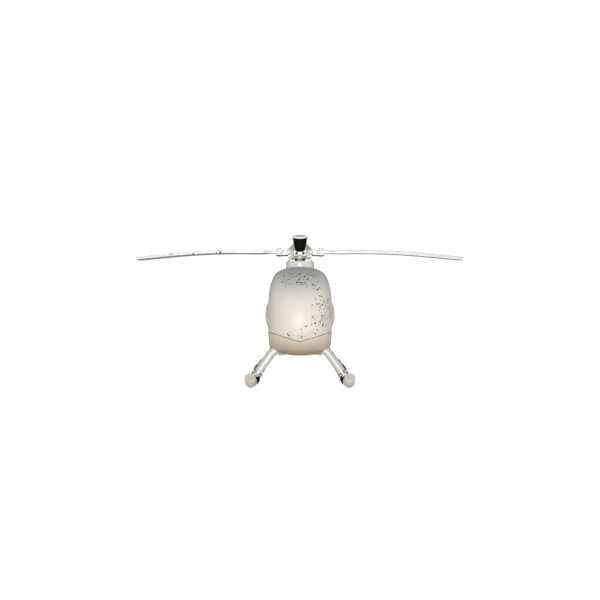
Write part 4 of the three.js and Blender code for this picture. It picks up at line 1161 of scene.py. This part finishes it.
# CAD pieces that stay, with a material and the width of their softened edges
KEPT_PIECES = [
    ("upper_bearing_block", "machined_aluminium", 0.6),
    ("lower_bearing_block", "machined_aluminium", 0.6),
    ("boom_clamp", "machined_aluminium", 0.6),
    ("motor_mount", "machined_aluminium", 0.25),
    ("main_gear", "gear_nylon", 0.12),
    ("motor_rotor", "motor_aluminium", 0.12),
    ("tail_motor_mount", "machined_aluminium", 0.3),
]
for name, material, width in KEPT_PIECES:
    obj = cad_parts[name]
    obj.data.materials.clear()
    obj.data.materials.append(MATERIALS[material])
    obj.data.polygons.foreach_set("use_smooth", [True] * len(obj.data.polygons))
    obj.data.set_sharp_from_angle(angle=math.radians(30))
    bevel_modifier(obj, width, angle=30)

# ------------------------------------------------------------------ battery and electronics
cut_plate("vis_battery_tray", rounded_rect(-15.7, 15.7, -140, -42, 3, 4),
          [slot_hole(-10, 10, y, y + 6, 2.5) for y in (-134, -120, -74, -60)],
          (34, 36.2), "z", "fibre_board", bevel=0.25)


def battery_pack():
    """A soft-sided pack, drawn in at both ends."""
    start, length, middle_z, steps = -137, 53, 51.2, 18
    section = rounded_rect(-15.3, 15.3, 36.6, 65.8, 3.2, 4)
    rings = []
    for i in range(steps + 1):
        t = i / steps
        from_end = min(t, 1 - t) * length
        drawn_in = 1 - 0.12 * math.exp(-from_end / 1.3)
        scale = drawn_in * (1 + 0.012 * math.sin(t * math.pi)) * 0.985
        rings.append([(x * scale, start + length * t, middle_z + (z - middle_z) * scale)
                      for x, z in section])
    make_skin("vis_battery_pack", *loft(rings), "battery_wrap", "battery")


def battery_straps():
    shape = Shape()
    outer = rounded_rect(-16.2, 16.2, 33.4, 66.4, 3.6)
    inner = rounded_rect(-15.5, 15.5, 34.1, 65.8, 3.0)
    count = len(outer)
    for start in (-122, -101):
        verts = [(x, y, z) for y in (start, start + 9) for loop in (outer, inner) for x, z in loop]
        faces = []
        for j in range(count):
            k = (j + 1) % count
            faces += [(j, k, count + k, count + j),
                      (2 * count + j, 3 * count + j, 3 * count + k, 2 * count + k),
                      (j, 2 * count + j, 2 * count + k, k),
                      (count + j, count + k, 3 * count + k, 3 * count + j)]
        shape.add(verts, faces)
    shape.make("vis_battery_straps", "strap_fabric", "board", angle=40)


battery_pack()
battery_straps()

# Battery leads, as points (x, y, z)
BLACK_LEAD = [(-6, -85, 60), (-7, -78, 62), (-8, -68, 60), (-8, -50, 56), (-7, -20, 40),
              (-7, 20, 18), (-6, 44, 10)]
RED_LEAD = [(-2, -85, 60), (-3, -78, 63), (-4, -68, 61), (-4, -50, 57), (-3, -20, 42),
            (-3, 20, 20), (-2, 44, 10)]
for name, points in (("black", BLACK_LEAD), ("red", RED_LEAD)):
    shape = Shape().sweep(curve_through(points, 8), 1.5, 12)
    shape.make(f"vis_lead_{name}", f"wire_{name}", "board", angle=60)

shape = Shape()
for x in (-6, 0, 6):
    points = [(x, 77, 8), (x, 82, 12), (x * 0.8, 78, 26), (x * 0.5, 66, 40), (x * 0.4, 58, 52),
              (x * 0.4, 56, 58)]
    shape.sweep(curve_through(points, 6), 1.1, 10)
shape.make("vis_motor_leads", "wire_black", "board", angle=60)

shape = Shape().box((-12, 12), (-78, -46), (36.5, 46.5))
shape.box((-10.6, 10.6), (-76.4, -47.6), (46.4, 48))
shape.make("vis_receiver_unit", "electronics_case", "board", replaces=True, bevel=0.8)
shape = Shape()
for k in range(5):
    shape.box((-9 + 4 * k, -6.6 + 4 * k), (-46.2, -42.6), (38.5, 44))
shape.make("vis_receiver_plugs", "black_rubber", "board", bevel=0.3)

# Servo leads: x at the receiver, last bend, end
SERVO_LEADS = [
    (-6.8, (-13.64, -6, 100), (-22, 4, 108)),
    (-2.8, (13.64, -6, 100), (22, 4, 108)),
    (1.2, (4, 24, 97.5), (8, 40, 101)),
]
shape = Shape()
for x, bend, end in SERVO_LEADS:
    points = [(x - 1, -43, 41), (x, -36, 44), (x * 0.8, -24, 62), (end[0] * 0.55, -18, 88),
              bend, end]
    shape.sweep(curve_through(points, 7), 0.9, 8)
shape.make("vis_servo_leads", "wire_pale", "board", angle=60)

# Speed controller with nine cooling fins
shape = Shape().box((-13, 13), (44, 78), (2.8, 9.5))
for k in range(9):
    x = -12 + 3 * k
    shape.box((x - 0.6, x + 0.6), (46, 76), (9.3, 13))
shape.make("vis_speed_controller", "electronics_case", "board", replaces=True, bevel=0.3)


# ------------------------------------------------------------------ servos
def side_servo(name, side):
    """Case outboard of the frame plate, 12 wide, 23 long and 26 tall; its shaft faces inwards."""
    move = Matrix.Translation((side * 26.6, 4.5, 104))
    if side < 0:
        move = move @ Matrix.Scale(-1, 4, (1, 0, 0))
    shape = Shape().box((0, 11.9), (0, 23), (0, 18.2), move)
    shape.box((0.3, 11.6), (0.3, 22.7), (18.5, 26), move)
    shape.box((3, 5), (-4, 27), (8, 18), move)
    shape.lathe(rounded(rod(5.2, -0.6, 0.8), 0.4, 2), 28, move @ place(0, 7.5, 21) @ along_x(-1))
    shape.make(name, "servo_case", "servo", replaces=True, bevel=0.45)
    spots = [tuple(move @ Vector((3.0, y, z))) for y in (-2.2, 25.2) for z in (10.2, 15.8)]
    turn = (move.to_3x3() @ along_x(-1).to_3x3()).to_4x4()
    screw_set(name + "_screws", spots, radius=1.3, height=1.0, turn=turn)


for name, side in SIDES:
    side_servo(f"vis_{name}_servo", side)
    shape = Shape().box(span(side, 18.2, 31), (10, 26), (104.5, 108))
    shape.make(f"vis_{name}_servo_bracket", "machined_aluminium", "block", bevel=0.5)
shape = Shape().box((3.4, 15.7), (26.6, 48), (101, 119))
shape.box((3.7, 15.4), (26.9, 47.7), (119.3, 128))
shape.box((4, 15.5), (22.8, 50), (104, 106.5))
shape.lathe(rounded(rod(4.6, 0, 1.4), 0.4, 2), 28, place(10, 26.8, 125) @ along_y(-1))
shape.make("vis_rear_servo", "servo_case", "servo", replaces=True, bevel=0.4)

BALL_R, PIN_R = 2.0, 1.1
BALL_PIN = rod(PIN_R, LOWER_BALL_REACH - 3, LOWER_BALL_REACH)


def servo_horn(name, side, axis, arm, end_r, boss_r, boss_end):
    """Lever with a boss at the servo shaft and a ball on a pin at its other end."""
    if axis == "x":
        shaft, aim = place(0, arm, SERVO_BALL_Z), along_x(side)
        ball = place(side * LOWER_BALL_REACH, 0, SERVO_BALL_Z)
    else:
        shaft, aim = place(arm, 0, SERVO_BALL_Z), along_y(side)
        ball = place(0, side * LOWER_BALL_REACH, SERVO_BALL_Z)
    lever = arc(0, 0, end_r, -80, 80, 10) + arc(-arm, 0, 2.5, 100, 260, 10)
    shape = Shape().prism(lever, span(side, 19.6, 21.6), axis, shaft)
    shape.lathe(rounded(rod(boss_r, 19.6, boss_end), 0.4, 2), 24, shaft @ aim)
    shape.lathe(BALL_PIN, 16, place(0, 0, SERVO_BALL_Z) @ aim, paint=1)
    shape.ball(BALL_R, ball, paint=1)
    shape.make(f"vis_{name}_servo_horn", ("gear_nylon", "steel"), "nylon", f"{name}_horn",
               replaces=True, angle=40)


for name, side in SIDES:
    servo_horn(name, side, "x", arm=12, end_r=3.6, boss_r=3.2, boss_end=26.4)
servo_horn("rear", 1, "y", arm=10, end_r=3.4, boss_r=3.0, boss_end=26.2)


# ------------------------------------------------------------------ rods and links
def servo_rod(name, axis, x, y, top_r, top_hole):
    """Rod from a servo horn up to the lower swash ring, with a moulded eye at each end."""
    offset = x if axis == "x" else y
    eyes = (("a", SERVO_BALL_Z, 4.2, 3.0, 1), ("b", SWASH_BALL_Z, top_r, top_hole, -1))
    for tag, z, radius, hole, way in eyes:
        # an eye with a tapered neck that points along `way`
        turn = 0 if way > 0 else 180
        loop = arc(0, z, radius, 118 + turn, 422 + turn, 24)
        loop += [(way * 1.7, z + way * 16), (-way * 1.7, z + way * 16)]
        cut_plate(f"vis_{name}_{tag}", loop, [round_hole(0, z, hole)],
                  (offset - 1.3, offset + 1.3), axis, "ivory_nylon", 0.25,
                  "swash_lower", replaces=name if tag == "a" else None)
    shape = Shape().lathe(rod(1.0, SERVO_BALL_Z + 12, SWASH_BALL_Z - 12), 16, place(x, y, 0))
    shape.make(f"vis_{name}_rod", "steel", "steel", "swash_lower")


for name, side in SIDES:
    servo_rod(f"{name}_servo_rod", "x", side * LOWER_BALL_REACH, 0, top_r=3.3, top_hole=2.3)
servo_rod("rear_servo_rod", "y", 0, LOWER_BALL_REACH, top_r=3.5, top_hole=2.35)

# The swash and head parts come in pairs, half a turn apart about the mast
PAIR = ((1, "front"), (-1, "rear"))


def link_outline(x):
    return arc(x, LINK_Z, 3.45, 180, 360, 16) + arc(x, HEAD_Z, 3.55, 0, 180, 16)


for sign, name in PAIR:
    x, y = sign * LINK_X, -sign * LINK_Y
    cut_plate(f"vis_{name}_pitch_link", link_outline(x),
              [round_hole(x, LINK_Z, 1.85), round_hole(x, HEAD_Z, 2.45)],
              (y - 1.7, y + 1.7), "y", "ivory_nylon", 0.35, "swash_upper")
# Moulded cap that closes the outer side of each pitch link
for sign, name in PAIR:
    shape = Shape().prism(link_outline(sign * LINK_X), span(-sign, 17.6, 18.9), "y")
    shape.make(f"vis_{name}_pitch_link_cap", "ivory_nylon", "link", "swash_upper", angle=40,
               bevel=0.6)

# ------------------------------------------------------------------ swashplate
LOWER_TURNS = [Matrix.Rotation(math.radians(angle), 4, "Z") for angle in (0, 90, 180)]
ring = [(3.4, 186.2), (5.4, 186.2), (5.4, 190.8), (14.5, 191.2), (14.5, 194.6), (5.9, 195),
        (5.9, 201), (3.4, 201)]
arm = [(9, -4.2), (15, -3.4), (21.8, -2.2), (21.8, 2.2), (15, 3.4), (9, 4.2)]
shape = Shape().lathe(rounded(ring, 0.4, 2), 64)
for turn in LOWER_TURNS:
    shape.prism(arm, (191.2, 194.6), "z", turn)
shape.make("vis_swash_lower_ring", "swash_paint", "silver", "swash_lower", replaces=True,
           angle=40, bevel=0.3)

shape = Shape()
for turn in LOWER_TURNS:
    shape.lathe(BALL_PIN, 16, turn @ place(0, 0, SWASH_BALL_Z) @ along_x(1))
    shape.ball(BALL_R, turn @ place(LOWER_BALL_REACH, 0, SWASH_BALL_Z))
shape.make("vis_swash_balls", "steel", "steel", "swash_lower")

shape = Shape()
for x in (-8.6, 8.6):
    for y in (-8.0, 8.0):
        shape.lathe(rounded(rod(2.3, 194.6, 198.7), 0.3, 2), 20, place(x, y, 0))
shape.make("vis_swash_dampers", "black_rubber", "black", "swash_lower")

shape = Shape().lathe(rounded(tube(6.4, 17, 199, 205.6), 0.7, 3), 72)
# Fork round the driver post, as x and y extents on the front side
FORK = (((-21.6, -20.0), (-14, -2)), ((-21.0, -14.0), (-6, -2)), ((-12.8, -11.2), (-14, -7)))
FORK_Z = (199.4, 203.4)
lug = rounded_rect(15.5, 25, 197.8, 204, 2.2)
for sign in (1, -1):
    x = sign * LINK_X
    shape.box((x - 3, x + 3), span(-sign, 7, 12.6), FORK_Z)
    shape.prism([(sign * x, z) for x, z in lug], (-3.2, 3.2), "y")
    for xs, ys in FORK:
        shape.box(span(sign, *xs), span(sign, *ys), FORK_Z)
shape.make("vis_swash_upper_ring", "swash_paint", "silver", "swash_upper", replaces=True,
           angle=40, bevel=0.25)

SMALL_BALL_R = 1.5
SMALL_PIN = rod(1.0, LINK_Y - 4, LINK_Y)
shape = Shape()
for sign in (1, -1):
    shape.lathe(SMALL_PIN, 16, place(sign * LINK_X, 0, LINK_Z) @ along_y(-sign))
    shape.ball(SMALL_BALL_R, place(sign * LINK_X, -sign * LINK_Y, LINK_Z))
shape.make("vis_swash_upper_balls", "steel", "steel", "swash_upper")

# ------------------------------------------------------------------ rotor head
shape = Shape().lathe(rounded(rod(3, 50, 210.9), 0.5, 2), 40)
shape.make("vis_mast", "steel", "steel", "rotor", replaces=True)
shape = Shape()
for z in (143.4, 156.2, 54.2, 66.2):
    shape.lathe(rounded(tube(3.3, 6.2, z, z + 1.6), 0.3, 2), 40)
shape.make("vis_mast_collars", "machined_aluminium", "block", "rotor")
shape = Shape().box((-12.2, 12.2), (-5, 5), (HEAD_Z - 4.9, HEAD_Z + 4.6))
shape.lathe(rounded(tube(3.25, 5.2, HEAD_Z - 8.6, HEAD_Z - 4), 0.4, 2), 40)
shape.make("vis_rotor_hub", "grip_nylon", "grip", "rotor", replaces=True, bevel=0.7)

# Swash driver posts, each on a bracket off one face of the hub
post = arc(-LINK_X, 203.7, 3.2, 180, 360, 16) + arc(-LINK_X, 214.2, 3.2, 0, 180, 16)
for sign, name in PAIR:
    turn = Matrix.Rotation(0 if sign > 0 else math.pi, 4, "Z")
    shape = Shape().box((-16, -9.7), (-13.9, -11.6), (209.5, 214.5), turn)
    shape.box((-12.0, -9.7), (-12.4, -4.6), (209.5, 214.5), turn)
    shape.make(f"vis_{name}_driver_bracket", "grip_nylon", "grip", "rotor", bevel=0.5)
    shape = Shape().prism(post, (-15.0, -11.4), "y", turn)
    shape.make(f"vis_{name}_driver_post", "ivory_nylon", "link", "rotor", angle=40, bevel=0.9)

shape = Shape()
for x in (-7, 7):
    for side in (-1, 1):
        shape.screw((x, side * 5.0, HEAD_Z - 2.35), 2.5, 1.0, turn=along_y(side), recess=0)
shape.make("vis_hub_bolts", "black_rubber", "black", "rotor")

spindle, dampers = Shape(), Shape()
spindle.lathe(rounded(rod(2, -32.5, 32.5), 0.4, 2), 28, place(0, 0, HEAD_Z) @ along_x(1))
for side in (1, -1):
    aim = place(0, 0, HEAD_Z) @ along_x(side)
    spindle.lathe(rounded(tube(2.0, 4.9, 13.4, 15.0), 0.4, 2), 32, aim)
    dampers.lathe(rounded(tube(2.2, 4.9, 15.4, 19.4), 0.9, 3), 32, aim)
spindle.make("vis_feathering_spindle", "steel", "steel", "rotor", replaces=True)
dampers.make("vis_head_dampers", "ivory_nylon", "grip", "rotor")


def at_head(points):
    """Lifts (r, z) or (x, z) points to the height of the blade axis."""
    return [(a, HEAD_Z + z) for a, z in points]


def saddled(profile):
    """A turning whose upper part rises by up to 2 towards +-X and sinks as much towards +-Y."""
    verts, faces = lathe(profile, 72)
    out = []
    for x, y, z in verts:
        radius = math.hypot(x, y)
        if radius > 0.01:
            share = clamp((z - HEAD_Z - 17) / 12) * min(1, radius / 14)
            z += (x * x - y * y) / radius ** 2 * 2.0 * share
        out.append((x, y, z))
    return out, faces


CUP = at_head([(0, 0.6), (7.4, 0.6), (9.4, 1.8), (11.2, 4.0), (11.8, 6.2), (12.4, 9), (13.6, 17),
               (15.5, 29), (13.2, 29), (11.2, 18), (0, 16)])
LID = at_head([(0, 29.4), (16.1, 29.4), (16.3, 31.4), (15.4, 33.0), (11, 34.6), (6, 36.0),
               (3.2, 36.9), (2.4, 37.8), (0, 37.9)])
shape = Shape().add(*saddled(rounded(CUP, 0.7, 3)))
shape.make("vis_hub_cup", "black_plastic", "black", "rotor", replaces=True, angle=40)
shape = Shape().add(*saddled(rounded(LID, 0.6, 3)))
shape.make("vis_hub_lid", "lid_plastic", "lid", "rotor", replaces=True, angle=50)


def yoke_cap():
    """Sloping ears either side of the cup, hollowed by a cutter that clears it."""
    half = at_head([(12.6, 4.9), (17.6, 4.9), (19.3, 6.9), (25, 7.6), (13.4, 18.4)])
    outline = half + [(-x, z) for x, z in reversed(half)]
    shape = Shape().prism(outline, (-4.6, 4.6), "y")
    yoke = shape.make("vis_yoke_cap", "yoke_paint", "yoke", "rotor", replaces=True)
    hollow = at_head([(0, -2), (11.6, -2), (11.6, 6.2), (12.0, 9), (13.2, 17), (13.9, 22), (0, 22)])
    cutter = Shape().lathe(hollow, 64).make("cutter", "yoke_paint", "yoke", "rotor")
    well = yoke.modifiers.new("well", "BOOLEAN")
    well.operation, well.solver, well.object = "DIFFERENCE", "EXACT", cutter
    bake(yoke)
    bpy.data.objects.remove(cutter)
    bevel_modifier(yoke, 0.45, angle=25)
    bake(yoke)
    shade(yoke.data, 35)


yoke_cap()

# ------------------------------------------------------------------ main blades
# Height of the blade's centre line against the blade axis: x, z
DROOP = [(36, 0), (60, 0.5), (90, 1.2), (125, 1.5), (160, 1.0), (198, 0.0), (233, -2.0),
         (267, -4.9), (302, -8.1), (336, -11.4), (352, -12.9)]
DROOP_FIT = np.polyfit(*np.array(DROOP, float).T, 5)
# Where the blade has a section, along X
BLADE_STATIONS = [
    37.0, 37.4, 38.2, 39.6, 41.4, 43.4, 45.3, 49, 53, 57, 60, 62, 64, 66.5, 69, 72, 76, 80, 84, 90,
    *np.linspace(98, 336, 41), 338, 340, 342, 344, 345.6, 347, 348.2, 349.1, 349.7]
LEADING, TRAILING = -14, 22  # the blade's edges, along Y
CHORD_STEPS = 20


def droop(x):
    return float(np.polyval(DROOP_FIT, x)) * clamp((x - 55) / 20) if x > 62 else 0.0


def foil(chord):
    """Half thickness: rounded leading edge, slight taper, blunt rounded trailing edge."""
    front = max(0.0, 1 - max(0.0, (0.1 - chord) / 0.1) ** 4) ** 0.25
    back = max(0.0, 1 - max(0.0, (chord - 0.94) / 0.06) ** 4) ** 0.25
    return BLADE_THICKNESS / 2 * front * back * (1 - 0.24 * ease((chord - 0.22) / 0.78))


def blade_edges(x):
    """Leading and trailing edge: round at the root, flared to full chord, corners cut at the tip."""
    if x < BOLT_X:
        half = math.sqrt(max(0.3, ROOT_R ** 2 - (BOLT_X - x) ** 2))
        return -half, half
    flare = ease((x - 58) / 24)
    leading = -ROOT_R + (LEADING + ROOT_R) * flare
    trailing = ROOT_R + (TRAILING - ROOT_R) * flare
    corner = 0.0
    if x > 338:
        corner = 11 * (1 - math.sqrt(max(0.0, 1 - ((x - 338) / 12) ** 2)))
    return leading + corner, trailing - corner


def blade_mesh():
    """A blade towards +X: a flat slab at the bolt that becomes the foil further out."""
    chords = [(1 - math.cos(math.pi * k / CHORD_STEPS)) / 2 for k in range(CHORD_STEPS + 1)]
    around = [(1, chord) for chord in chords] + [(-1, chord) for chord in chords[-2:0:-1]]
    rings = []
    for x in BLADE_STATIONS:
        leading, trailing = blade_edges(x)
        winged = ease((x - 60) / 22)
        tip = 1.0
        if x >= 347:
            tip = max(0.6, math.sqrt(max(0, 1 - ((x - 347) / 3.6) ** 2)))
        ring = []
        for side, chord in around:
            slab = BLADE_THICKNESS / 2 * min(1.0, (1 - abs(2 * chord - 1) ** 9) ** 0.5)
            wing = max(0.32, foil(chord)) if 0.0 < chord < 1 else 0.0
            half = slab + (wing - slab) * winged
            half *= (1 + 0.08 * winged) * (0.5 + 0.5 * tip)
            z = HEAD_Z + half * side - 1.5 * winged + droop(x)
            ring.append((x, leading + (trailing - leading) * chord, z))
        rings.append(ring)
    return loft(rings)


# Grip, as (x, z) and (x, y) outlines: the clevis round the blade root and the pitch arm
JAW = BLADE_THICKNESS / 2 + 0.2
CLEVIS = at_head([(26.6, -6.5), (51, -6.5), (51, -JAW), (35.6, -JAW), (35.6, JAW), (51, JAW),
                  (51, 6.5), (26.6, 6.5)])
PITCH_ARM = [(13.4, -12.4), (27, -12.4), (29, -8), (29, -4), (20.3, -4), (20.3, -9.4),
             (13.4, -9.4)]
BOLT_HEAD = at_head([(0, 6.6), (4.6, 6.6), (4.6, 8.2), (3.9, 8.9), (2.1, 8.9), (2.1, 7.6),
                     (0, 7.6)])
BLADE = blade_mesh()


def blade_side(name, turn_angle, paint):
    """A main blade with its washers, grip, pitch ball, bolt, and a black strip painting shade under
    the grip.
    """
    blade, grip = f"{name}_blade", f"{name}_grip"
    turn = Matrix.Rotation(turn_angle, 4, "Z")
    bolt = turn @ place(BOLT_X, 0, 0)

    shape = Shape().add(*BLADE, move=turn)
    shape.make(f"vis_{name}_main_blade", paint, "blade", blade, replaces=True, angle=38)
    shape = Shape()
    for side in (-1, 1):
        low, high = span(side, 3.25, 3.45)
        shape.lathe(tube(2.0, 7.2, HEAD_Z + low, HEAD_Z + high), 36, bolt)
    shape.make(f"vis_{name}_blade_washers", "steel", "steel", blade)

    shape = Shape().prism(CLEVIS, (-9, 9), "y", turn)
    shape.lathe(tube(2.3, 6.3, 20, 27.2), 40, turn @ place(0, 0, HEAD_Z) @ along_x(1))
    shape.prism(PITCH_ARM, (HEAD_Z - 2.4, HEAD_Z + 2.4), "z", turn)
    shape.make(f"vis_{name}_blade_grip", "grip_nylon", "grip", grip, replaces=True, angle=40,
               bevel=0.7)

    shape = Shape().lathe(SMALL_PIN, 16, turn @ place(LINK_X, 0, HEAD_Z) @ along_y(-1))
    shape.ball(SMALL_BALL_R, turn @ place(LINK_X, -LINK_Y, HEAD_Z))
    shape.make(f"vis_{name}_grip_ball", "steel", "steel", grip)

    shape = Shape().lathe(rounded(rod(1.6, HEAD_Z - 9, HEAD_Z + 7), 0.3, 2), 24, bolt)
    shape.lathe(rounded(BOLT_HEAD, 0.35, 3), 32, bolt)
    shape.prism(arc(0, 0, 4.9, 30, 330, 5), (HEAD_Z - 9.2, HEAD_Z - 6.7), "z", bolt)
    shape.lathe(rounded(rod(3.9, HEAD_Z - 10.3, HEAD_Z - 9), 0.5, 3), 32, bolt)
    shape.make(f"vis_{name}_blade_bolt", "bolt_plating", "steel", grip, replaces=True, angle=35,
               bevel=0.15)

    # A thin black strip under the clevis: painted shade of the grip's underside.
    shape = Shape().box((25.7, 51.2), (-9.1, 9.1), (206.2, 207.3), turn)
    shape.make(f"vis_{name}_grip_underside_shade", "black_plastic", "black", grip, bevel=0.15)


blade_side("right", 0.0, "blade_paint")
blade_side("left", math.pi, "blade_paint_chipped")

# ------------------------------------------------------------------ tail
BOOM_AXIS = place(0, 0, BOOM_Z) @ along_y(1)
shape = Shape().lathe(rounded(tube(7.8, 9, 94, 424), 0.3, 2), 56, BOOM_AXIS)
shape.make("vis_tail_boom", "fibre_board", "carbon", replaces=True)

# Fin as (y, z) and stabiliser as (x, y), before their corners are rounded
FIN = [(427.5, 114), (431, 138), (452, 156), (478, 190), (498, 190), (486, 150), (479, 124),
       (481, 92), (492, 52), (474, 52), (452, 96), (432, 108)]
STABILISER = [(-70, 352), (-66, 338), (-14, 322), (14, 322), (66, 338), (70, 352), (66, 362),
              (-66, 362)]
cut_plate("vis_tail_fin", soft_loop(FIN), [], (-7, -4.6), "x", "shell_paint", bevel=0.9)
cut_plate("vis_tail_stabiliser", soft_loop(STABILISER, cut=0.2), [],
          (BOOM_Z + 9.4, BOOM_Z + 11.6), "z", "shell_paint", bevel=0.9)
shape = Shape().lathe(rounded(tube(9.25, 11.6, 330, 354), 0.8, 3), 48, BOOM_AXIS)
shape.make("vis_stabiliser_sleeve", "silver_paint", "silver")
shape = Shape()
for y in (336, 348):
    shape.screw((0, y, BOOM_Z + 11.4), 2.2, 1.4)
    shape.screw((0, y, BOOM_Z - 11.4), 2.2, 1.4, turn=DOWN)
for z in (117, 131):
    shape.screw((-7.0, 434, z), 2.0, 1.2, turn=along_x(-1))
shape.make("vis_tail_screws", SCREW_PAINTS, "steel")

BELL = [(0, -3.6), (1.7, -3.6), (1.7, 17.2), (8.4, 17.2), (8.4, 6), (10.6, 6), (10.6, 19.2),
        (3, 19.2), (3, 22.2), (0, 22.2)]
shape = Shape().lathe(rounded(BELL, 0.5, 2), 48, place(0, TAIL_AXLE_Y, BOOM_Z) @ along_x(1))
shape.make("vis_tail_motor_bell", "motor_aluminium", "motor", "tail_rotor", replaces=True)
shape = Shape()
for k in range(9):
    move = place(0, TAIL_AXLE_Y, BOOM_Z, rx=2 * math.pi * k / 9)
    shape.box((5.0, 15.0), (-1.4, 1.4), (6.6, 8.2), move)
shape.make("vis_tail_motor_windings", "copper_winding", "motor", bevel=0.4)

# Tail blade section: share of the half chord, share of the thickness
TAIL_SECTION = [(-1, 0.0), (-0.8, 0.55), (-0.4, 0.95), (0.1, 0.9), (0.6, 0.55), (1, 0.0),
                (0.6, -0.25), (0.1, -0.4), (-0.4, -0.55), (-0.8, -0.4)]


def tail_blade():
    """A twisted, tapered blade towards +Z with a rounded tip."""
    root, length, steps = 13.0, 61.6, 26
    rings = []
    for i in range(steps + 1):
        t = i / steps
        half_chord = 9.0 * (1 - 0.18 * t)
        if t >= 0.93:
            half_chord *= math.sqrt(max(0.05, 1 - ((t - 0.93) / 0.075) ** 2))
        thickness = 1.25 * (1 - 0.35 * t)
        twist = math.radians(20 - 12 * t)
        cos, sin = math.cos(twist), math.sin(twist)
        ring = []
        for a, b in TAIL_SECTION:
            across, out = a * half_chord, b * thickness
            ring.append((26 + out * cos + across * sin, across * cos - out * sin,
                         root + length * t))
        rings.append(ring)
    return loft(rings)


rest = place(0, TAIL_AXLE_Y, BOOM_Z, rx=math.radians(35))
cap = [(0, 22.6), (6.5, 22.6), (6.5, 27.5), (4, 30), (0, 30)]
shape = Shape().lathe(rounded(cap, 1.0, 3), 40, rest @ along_x(1))
shape.prism(rounded_rect(-4.6, 4.6, -14.5, 14.5, 3, 4), (23.4, 28.6), "x", rest)
for turn in (0, math.pi):
    shape.add(*tail_blade(), move=rest @ Matrix.Rotation(turn, 4, "X"))
shape.make("vis_tail_rotor", "blade_paint", "blade", "tail_rotor", replaces=True, angle=45)
points = [(0, 426, 124), (0, 430, 118), (1.5, 436, 115)]
Shape().sweep(curve_through(points, 6), 1.0, 10).make("vis_tail_motor_lead", "wire_black", "board")

# ------------------------------------------------------------------ stage, light, camera
# From here on, places and sizes are in metres.
GROUND_M = -58.1 * MM
FLOOR_HALF_M = 9


def floor_material():
    """Pale matte floor that whitens with distance and throws warm light back up."""
    material = bpy.data.materials.new("pale_floor")
    s = Nodes(material)
    camera_ray = s.node("LightPath").outputs["Is Camera Ray"]
    grain = s.node("TexNoise", {"Scale": 40}).outputs[0]
    tint = s.mix(grain, (0.50, 0.495, 0.49, 1), (0.53, 0.525, 0.52, 1))
    matte = s.node("BsdfDiffuse", {0: tint})
    glow_color = s.mix(camera_ray, (0.95, 0.80, 0.66, 1), (1, 1, 1, 1))
    position = s.node("TexCoord").outputs["Object"]
    distance = s.node("VectorMath", operation="LENGTH")
    s.fill(distance, {0: position})
    # seen strength: 0.86 up to 0.5 m away, 1.0 from 3 m
    fade = s.node("MapRange", {0: distance.outputs["Value"], 1: 0.5, 2: 3.0, 3: 0.86, 4: 1.0},
                  interpolation_type="SMOOTHSTEP")
    # strength 0.11 for light on the model, the fade for the camera
    strength = s.node("Mix", {0: camera_ray, 2: 0.11, 3: fade.outputs[0]})
    glow = s.node("Emission", {0: glow_color, 1: strength.outputs[0]})
    both = s.node("AddShader", {0: matte.outputs[0], 1: glow.outputs[0]})
    s.node("OutputMaterial", {0: both.outputs[0]})
    return material


def stage_floor():
    half = FLOOR_HALF_M
    corners = [(-half, -half), (half, -half), (half, half), (-half, half)]
    mesh = bpy.data.meshes.new("stage_floor")
    mesh.from_pydata([(x, y, GROUND_M) for x, y in corners], [], [(0, 1, 2, 3)])
    mesh.materials.append(floor_material())
    mesh.shade_smooth()
    obj = bpy.data.objects.new("stage_floor", mesh)
    bpy.context.scene.collection.objects.link(obj)


def studio_world():
    """White to the camera, dim and slightly blue as light."""
    world = bpy.data.worlds.new("studio")
    bpy.context.scene.world = world
    s = Nodes(world)
    seen = s.node("Background", {0: (1, 1, 1, 1), 1: 1.0})
    ambient = s.node("Background", {0: (0.90, 0.95, 1.0, 1), 1: 0.22})
    camera_ray = s.node("LightPath").outputs["Is Camera Ray"]
    mixed = s.node("MixShader", {0: camera_ray, 1: ambient.outputs[0], 2: seen.outputs[0]})
    s.node("OutputWorld", {0: mixed.outputs[0]})


def area_light(name, where, target, size, power, color):
    light = bpy.data.lights.new(name, "AREA")
    light.shape, light.size, light.energy, light.color = "DISK", size, power, color
    obj = bpy.data.objects.new(name, light)
    obj.location = where
    way = Vector(target) - Vector(where)
    obj.rotation_euler = way.to_track_quat("-Z", "Y").to_euler()
    bpy.context.scene.collection.objects.link(obj)
    return obj


stage_floor()
studio_world()
area_light("key_front", where=(-0.04, -1.62, 0.135), target=(0, 0, 0.09), size=0.55, power=18.5,
           color=(1.0, 0.98, 0.945))
# Fill lights without highlights: name, place, size, power, colour
FILL_LIGHTS = [
    ("side_left", (-1.9, 0.35, 0.5), 1.1, 11, (1.0, 0.98, 0.95)),
    ("side_right", (1.9, 0.2, 0.4), 1.1, 13, (1.0, 0.98, 0.96)),
    ("rear_soft", (0.3, 2.2, 0.8), 1.3, 12, (0.97, 0.98, 1.0)),
]
for name, where, size, power, color in FILL_LIGHTS:
    area_light(name, where, (0, 0.1, 0.1), size, power, color).visible_glossy = False

# Camera straight ahead of the nose, looking level along +Y
lens = bpy.data.cameras.new("camera")
lens.lens, lens.sensor_width, lens.clip_start = 39.0, 36.0, 0.01
camera = bpy.data.objects.new("camera", lens)
camera.location = (0, -1.4, 0.111)
camera.rotation_euler = (math.pi / 2, 0, 0)
bpy.context.scene.collection.objects.link(camera)
bpy.context.scene.camera = camera
bpy.context.scene.view_settings.view_transform = "Standard"
